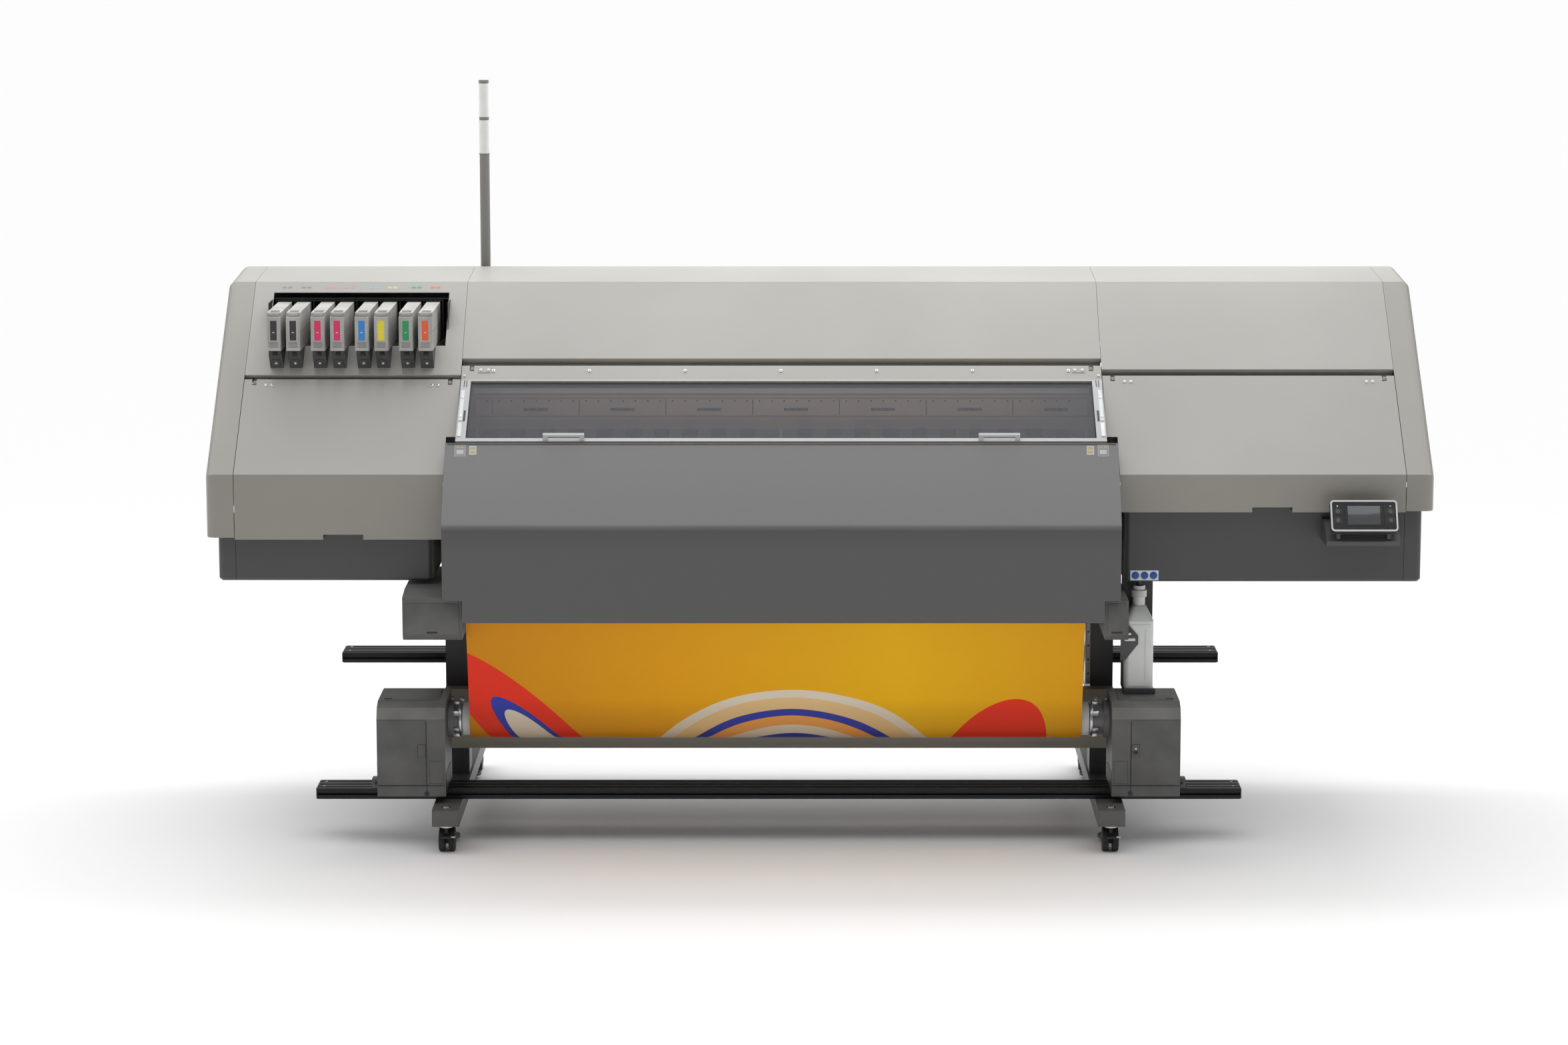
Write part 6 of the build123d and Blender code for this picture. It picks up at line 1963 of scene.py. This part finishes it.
class SignalTower(SubAssembly):
    """Grey pole with two frosted lenses, a ring between them and a cap."""

    def build(self) -> None:
        """Dress the tower and add its collars."""
        low, high = self.box("signal_tower")
        cap = high.z - 0.009
        ring_low = cap - 0.092 - 0.009
        lens_low = ring_low - 0.092

        def lens(centre: Vector, normal: Vector) -> bool:
            """Whether a face belongs to one of the two lenses."""
            return lens_low + 0.0002 < centre.z < cap - 0.0002 and not ring_low < centre.z < ring_low + 0.009

        self.dress("signal_tower", "tower_grey", (("lens", lens),))
        middle_x, middle_y = (low.x + high.x) / 2, high.y - 0.0144
        piece = Piece("signal_tower_collar")
        grey = self.palette["seam_black"]
        piece.disc((middle_x, middle_y, low.z + 0.062), 0.0180, 0.008, grey, Turn.Z, 0.001, 32)
        piece.disc((middle_x, middle_y, lens_low - 0.0006), 0.01475, 0.0030, self.palette["tower_grey"],
                   Turn.Z, 0.0005, 32)
        piece.finish("root", "tower_grey")
        bolts = Piece("signal_tower_bolts")
        for z in (low.z + 0.012, low.z + 0.048):
            for x in (low.x + 0.006, high.x - 0.006):
                place = seated(Vector((x, high.y - 0.0144, z)), BACKWARD)
                self.fasten(bolts, place, 0.004)
        bolts.finish("root", "roller_steel")


class WasteInk(SubAssembly):
    """Waste bottle, its tray, pentagon bracket and the plain notice plate above it."""

    def build(self) -> None:
        """Dress the waste ink set and add its fittings."""
        self.dress("waste_bottle", "polyethylene")
        self.dress("bottle_tray", "stand_black")
        self.collar()
        self.bracket()
        self.notice()
        self.ridges()

    def collar(self) -> None:
        """Collar round the bottle's neck."""
        low, high = self.box("waste_bottle")
        middle = (low + high) / 2
        piece = Piece("waste_bottle_cap_ring")
        radius = 0.0205
        outer, inner = circle(radius, 32), circle(radius * 0.79, 32)
        place = Matrix.Translation((middle.x, middle.y, high.z - 0.030))
        ring(piece, outer, inner, 0.0, 0.018, self.palette["white_plastic"], place)
        piece.finish("root", "bottle_clear")

    def bracket(self) -> None:
        """Dark five-sided plate with a slot that holds the bottle."""
        low = self.box("waste_bottle")[0]
        front = low.y - 0.0045
        left = low.x - 0.014
        centre_z = low.z + 0.142
        piece = Piece("waste_bottle_bracket")
        outline = [(0.000, -0.058), (0.012, -0.058), (0.046, -0.014), (0.046, 0.008), (0.012, 0.046),
                   (0.000, 0.046)]
        corners = [(left + x, front, centre_z + z) for x, z in outline]
        piece.extrude(corners, Vector((0, 0.0030, 0)), self.palette["charcoal"], 0.0008)
        piece.block((left + 0.010, front - 0.0008, centre_z - 0.006), (left + 0.038, front + 0.0006,
                    centre_z + 0.001), self.palette["white_plastic"], 0.0003)
        piece.disc((left + 0.0235, front - 0.0016, centre_z + 0.014), 0.0040, 0.0040, self.palette["zinc"],
                   Turn.Y, 0.0007, 6)
        piece.block((left, front, centre_z + 0.030), (left + 0.006, -0.1990, centre_z + 0.040),
                    self.palette["charcoal"], 0.0006)
        piece.finish("root", "tray_steel")

    def notice(self) -> None:
        """Plain white plate with three blue discs under the right shell."""
        low = self.box("lower_shell_right")[0]
        piece = Piece("notice_plate")
        middle, level = low.x + 0.054, low.z + 0.0170
        front = self.skin.front("lower_shell_right", low.x + 0.050, low.z + 0.03).translation.y
        place = seated(Vector((middle, front, level)), FORWARD)
        plate(piece, place, 0.076, 0.029, 0.0010, self.palette["label_blue_dark"], 0.0003)
        plate(piece, place @ Matrix.Translation((0, 0, 0.0008)), 0.073, 0.026, 0.0006,
              self.palette["white_plastic"], 0.0002)
        for offset in (-0.0235, 0.0, 0.0235):
            piece.disc((offset, 0, 0.0016), 0.0100, 0.0008, self.palette["label_blue_dark"], Turn.Z, 0.0002,
                       28, place=place)
        piece.finish("root", "bottle_clear")

    def ridges(self) -> None:
        """Moulded ridges on the bottle's front."""
        low, high = self.box("waste_bottle")
        middle = (low.x + high.x) / 2
        piece = Piece("waste_bottle_ridges")
        for z in (low.z + 0.014, low.z + 0.175):
            piece.block((low.x + 0.010, low.y - 0.0012, z), (high.x - 0.010, low.y + 0.0006, z + 0.0040),
                        self.palette["polyethylene"], 0.0006)
        piece.block((middle + 0.014, low.y - 0.0010, low.z + 0.03),
                    (middle + 0.017, low.y + 0.0006, low.z + 0.165), self.palette["polyethylene"], 0.0006)
        piece.finish("root", "bottle_clear")


class MediaWeb(SubAssembly):
    """The printed web on its way from the supply roll to the take-up roll."""

    def build(self) -> None:
        """Dress the web. Its finish is bare behind the print zone and printed in front of it, with painted
        shade towards its foot.
        """
        self.dress("media_web", "printed_web")


class RearSide(SubAssembly):
    """Power inlet, switch, socket, screws and seams on the rear."""

    def build(self) -> None:
        """Add the rear fittings."""
        self.inlet()
        self.rear_screws()
        self.seams()

    def inlet(self) -> None:
        """Power inlet with its switch and a network socket."""
        low, high = self.box("rear_cover")
        place = seated(Vector((high.x - 0.22, high.y, low.z + 0.16)), BACKWARD)
        piece = Piece("power_inlet")
        black = self.palette["black_plastic"]
        ring(piece, rounded(0.058, 0.048, 0.003, 4), rounded(0.028, 0.021, 0.002, 4), -0.0004, 0.003,
             black, place)
        piece.block((-0.014, -0.0105, -0.0004), (0.014, 0.0105, 0.0008), self.palette["seam_black"],
                    place=place)
        for x in (-0.007, 0.0, 0.007):
            piece.block((x - 0.001, -0.004, 0.0004), (x + 0.001, 0.004, 0.0026), self.palette["steel"],
                        place=place)
        for x in (-0.023, 0.023):
            spot = place @ Matrix.Translation((x, 0, 0.003))
            screw(piece, spot, self.palette["zinc"], black, 0.0034)
        piece.finish("root", "guide_black")
        switch = Piece("main_switch")
        spot = place @ Matrix.Translation((0.070, 0, 0))
        ring(switch, rounded(0.036, 0.048, 0.003, 4), rounded(0.024, 0.034, 0.002, 4), -0.0004, 0.0024,
             black, spot)
        tilt = spot @ Matrix.Rotation(math.radians(7), 4, "X")
        switch.block((-0.0115, -0.0165, -0.001), (0.0115, 0.0165, 0.0035), self.palette["seam_black"],
                     0.0012, tilt)
        switch.finish("root", "guide_black")
        port = Piece("network_socket")
        spot = place @ Matrix.Translation((0.130, 0, 0))
        ring(port, rounded(0.024, 0.022, 0.001, 2), rounded(0.015, 0.012, 0.0005, 2), -0.0004, 0.0026,
             self.palette["steel"], spot)
        port.block((-0.0075, -0.006, -0.0004), (0.0075, 0.006, 0.0004), black, place=spot)
        port.finish("root", "guide_black")

    def rear_screws(self) -> None:
        """Rows of screws along the rear cover."""
        low, high = self.box("rear_cover")
        piece = Piece("rear_cover_screws")
        columns = 9
        for index in range(columns):
            x = low.x + 0.03 + (high.x - low.x - 0.06) * index / (columns - 1)
            for z in (low.z + 0.018, (low.z + high.z) / 2 - 0.04, high.z - 0.018):
                place = seated(Vector((x, high.y, z)), BACKWARD)
                self.fasten(piece, place, 0.005)
        piece.finish("root", "roller_steel")

    def seams(self) -> None:
        """Seam strips that divide the rear cover into service panels."""
        low, high = self.box("rear_cover")
        piece = Piece("rear_cover_seams")
        for x in (-1.0, -0.2, 0.6):
            piece.bar(x, 0.0012, (high.y - 0.0004, high.y + 0.0005), (low.z + 0.004, high.z - 0.004),
                      self.palette["seam_black"])
        piece.finish("root", "warm_grey_cover")


# ---- Outlines -----------------------------------------------------------------------------


def rounded(width: float, height: float, corner: float, steps: int) -> list[Span]:
    """Outline of a rounded rectangle about the origin.

    Args:
        width: its width.
        height: its height.
        corner: its corner radius.
        steps: segments of each corner.

    Returns:
        The points, in order.
    """
    points = []
    for sx, sy, start in ((1, 1, 0), (-1, 1, 90), (-1, -1, 180), (1, -1, 270)):
        cx, cy = sx * (width / 2 - corner), sy * (height / 2 - corner)
        for step in range(steps + 1):
            angle = math.radians(start + 90 * step / steps)
            points.append((cx + corner * math.cos(angle), cy + corner * math.sin(angle)))
    return points


def circle(radius: float, sides: int) -> list[Span]:
    """Outline of a circle about the origin.

    Args:
        radius: its radius.
        sides: how many points it has.

    Returns:
        The points, in order.
    """
    angles = [index * math.tau / sides for index in range(sides)]
    return [(radius * math.cos(angle), radius * math.sin(angle)) for angle in angles]


def ring(piece: Piece, outer: list[Span], inner: list[Span], low: float, high: float,
         finish: Material, place: Matrix) -> None:
    """Add a flat ring between two outlines with equal point counts.

    Args:
        piece: the piece that takes it.
        outer: points of its outer outline.
        inner: points of its inner outline.
        low: its lower face.
        high: its upper face.
        finish: its material.
        place: where its own frame goes.
    """
    mesh = piece.mesh
    rows = []
    for outline, z in ((outer, low), (outer, high), (inner, high), (inner, low)):
        rows.append([mesh.verts.new((x, y, z)) for x, y in outline])
    faces = set()
    count = len(outer)
    for level in range(4):
        first, second = rows[level], rows[(level + 1) % 4]
        for index in range(count):
            after = (index + 1) % count
            faces.add(mesh.faces.new((first[index], first[after], second[after], second[index])))
    bmesh.ops.recalc_face_normals(mesh, faces=list(faces))
    bmesh.ops.transform(mesh, matrix=place, verts=[v for row in rows for v in row])
    piece.paint(faces, finish)


# ---- Studio -------------------------------------------------------------------------------


@dataclass
class Studio:
    """White studio: pale floor, wide overhead light, strips and the camera."""

    low: Vector
    high: Vector

    def build(self) -> None:
        """Make the floor, the lights, the world and the camera."""
        self.floor()
        self.lights()
        self.world()
        self.camera()

    def floor(self) -> None:
        """Large pale floor that reaches the horizon on every side."""
        mesh = bmesh.new()
        bmesh.ops.create_grid(mesh, x_segments=4, y_segments=4, size=90.0)
        bmesh.ops.recalc_face_normals(mesh, faces=mesh.faces[:])
        data = bpy.data.meshes.new("floor")
        mesh.to_mesh(data)
        mesh.free()
        data.shade_smooth()
        sheet = NodeSheet("floor_white")
        sheet.shader.inputs["Base Color"].default_value = (0.95, 0.95, 0.95, 1)
        sheet.shader.inputs["Roughness"].default_value = 0.7
        sheet.shader.inputs["Specular IOR Level"].default_value = 0.2
        data.materials.append(sheet.material)
        floor = bpy.data.objects.new("floor", data)
        bpy.context.scene.collection.objects.link(floor)
        floor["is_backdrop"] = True

    def area(self, name: str, place: Vector, target: Vector, size: Span, power: float) -> None:
        """Add a rectangular softbox.

        Args:
            name: its name.
            place: where it is.
            target: what it faces.
            size: its width and height.
            power: its power in watts.
        """
        data = bpy.data.lights.new(name, "AREA")
        data.shape = "RECTANGLE"
        data.size, data.size_y = size
        data.energy = power
        light = bpy.data.objects.new(name, data)
        light.location = place
        light.rotation_mode = "QUATERNION"
        light.rotation_quaternion = (Vector(target) - Vector(place)).to_track_quat("-Z", "Y")
        light.visible_camera = False
        bpy.context.scene.collection.objects.link(light)
        light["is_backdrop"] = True

    def lights(self) -> None:
        """Wide soft light from above, a strip over the covers and gentle side strips."""
        middle = (self.low + self.high) / 2
        spread, tilt, strength = math.radians(110), math.radians(-14), 2.75
        sun = bpy.data.lights.new("ceiling", "SUN")
        sun.energy = strength
        sun.angle = spread
        ceiling = bpy.data.objects.new("ceiling", sun)
        ceiling.rotation_euler = (tilt, 0, 0)
        bpy.context.scene.collection.objects.link(ceiling)
        ceiling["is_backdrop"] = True
        self.area("cover_strip", Vector((0, 0.75, 2.7)), Vector((0, 0.0, 1.35)), (4.2, 0.5), 30)
        self.area("left_strip", Vector((-6.5, -3.2, 2.4)), middle, (2.0, 3.6), 14)
        self.area("right_strip", Vector((6.5, -3.2, 2.4)), middle, (2.0, 3.6), 6)

    def world(self) -> None:
        """Surround that is dim as a light and white to the camera, and the Standard view transform."""
        world = bpy.data.worlds.new("studio_world")
        world.use_nodes = True
        background = world.node_tree.nodes["Background"]
        as_light, to_camera = 0.2, 1.0
        background.inputs["Color"].default_value = (1.0, 1.0, 1.0, 1)
        rays = world.node_tree.nodes.new("ShaderNodeLightPath")
        strength = world.node_tree.nodes.new("ShaderNodeMapRange")
        strength.inputs["To Min"].default_value = as_light
        strength.inputs["To Max"].default_value = to_camera
        world.node_tree.links.new(rays.outputs["Is Camera Ray"], strength.inputs["Value"])
        world.node_tree.links.new(strength.outputs["Result"], background.inputs["Strength"])
        bpy.context.scene.world = world
        bpy.context.scene.view_settings.view_transform = "Standard"

    def camera(self) -> None:
        """View from the front, a little above the machine and looking slightly down."""
        place, downward = (-0.0462, -10.031, 2.664), 8.22
        data = bpy.data.cameras.new("camera")
        data.sensor_width = 36.0
        data.lens = 87.1
        data.shift_x = -0.0115
        data.shift_y = -0.10
        data.clip_end = 100
        camera = bpy.data.objects.new("camera", data)
        camera.location = place
        camera.rotation_euler = (math.radians(90 - downward), 0, 0)
        bpy.context.scene.collection.objects.link(camera)
        bpy.context.scene.camera = camera


def main() -> None:
    """Build every sub-assembly in order, then the studio."""
    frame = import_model()
    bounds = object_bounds()
    web_low, web_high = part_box("media_web")
    dryer_low, dryer_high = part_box("dryer_cover")
    # Height of the dryer's bend, where its painted light gives way to painted shade.
    bend_share, bare_depth = 0.5686, 0.22
    bend = dryer_low.z + (dryer_high.z - dryer_low.z) * bend_share
    print_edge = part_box("platen")[1].y - bare_depth
    palette = Palette((web_low.x + web_high.x) / 2, web_low.z, print_edge, bend, dryer_high.z, dryer_low.z)
    palette.build()
    skin = Skin(frame["nodes"])
    parts = (Covers, Doors, WindowLid, PrintZone, InkSupply, OperatorPanel, DryerCover, TakeUp, Supply,
             Stand, Casters, SignalTower, WasteInk, MediaWeb, RearSide)
    for part in parts:
        part(frame, palette, skin).build()
        log.info("%s done", part.__name__)
    Studio(*bounds).build()


if __name__ == "__main__":
    main()
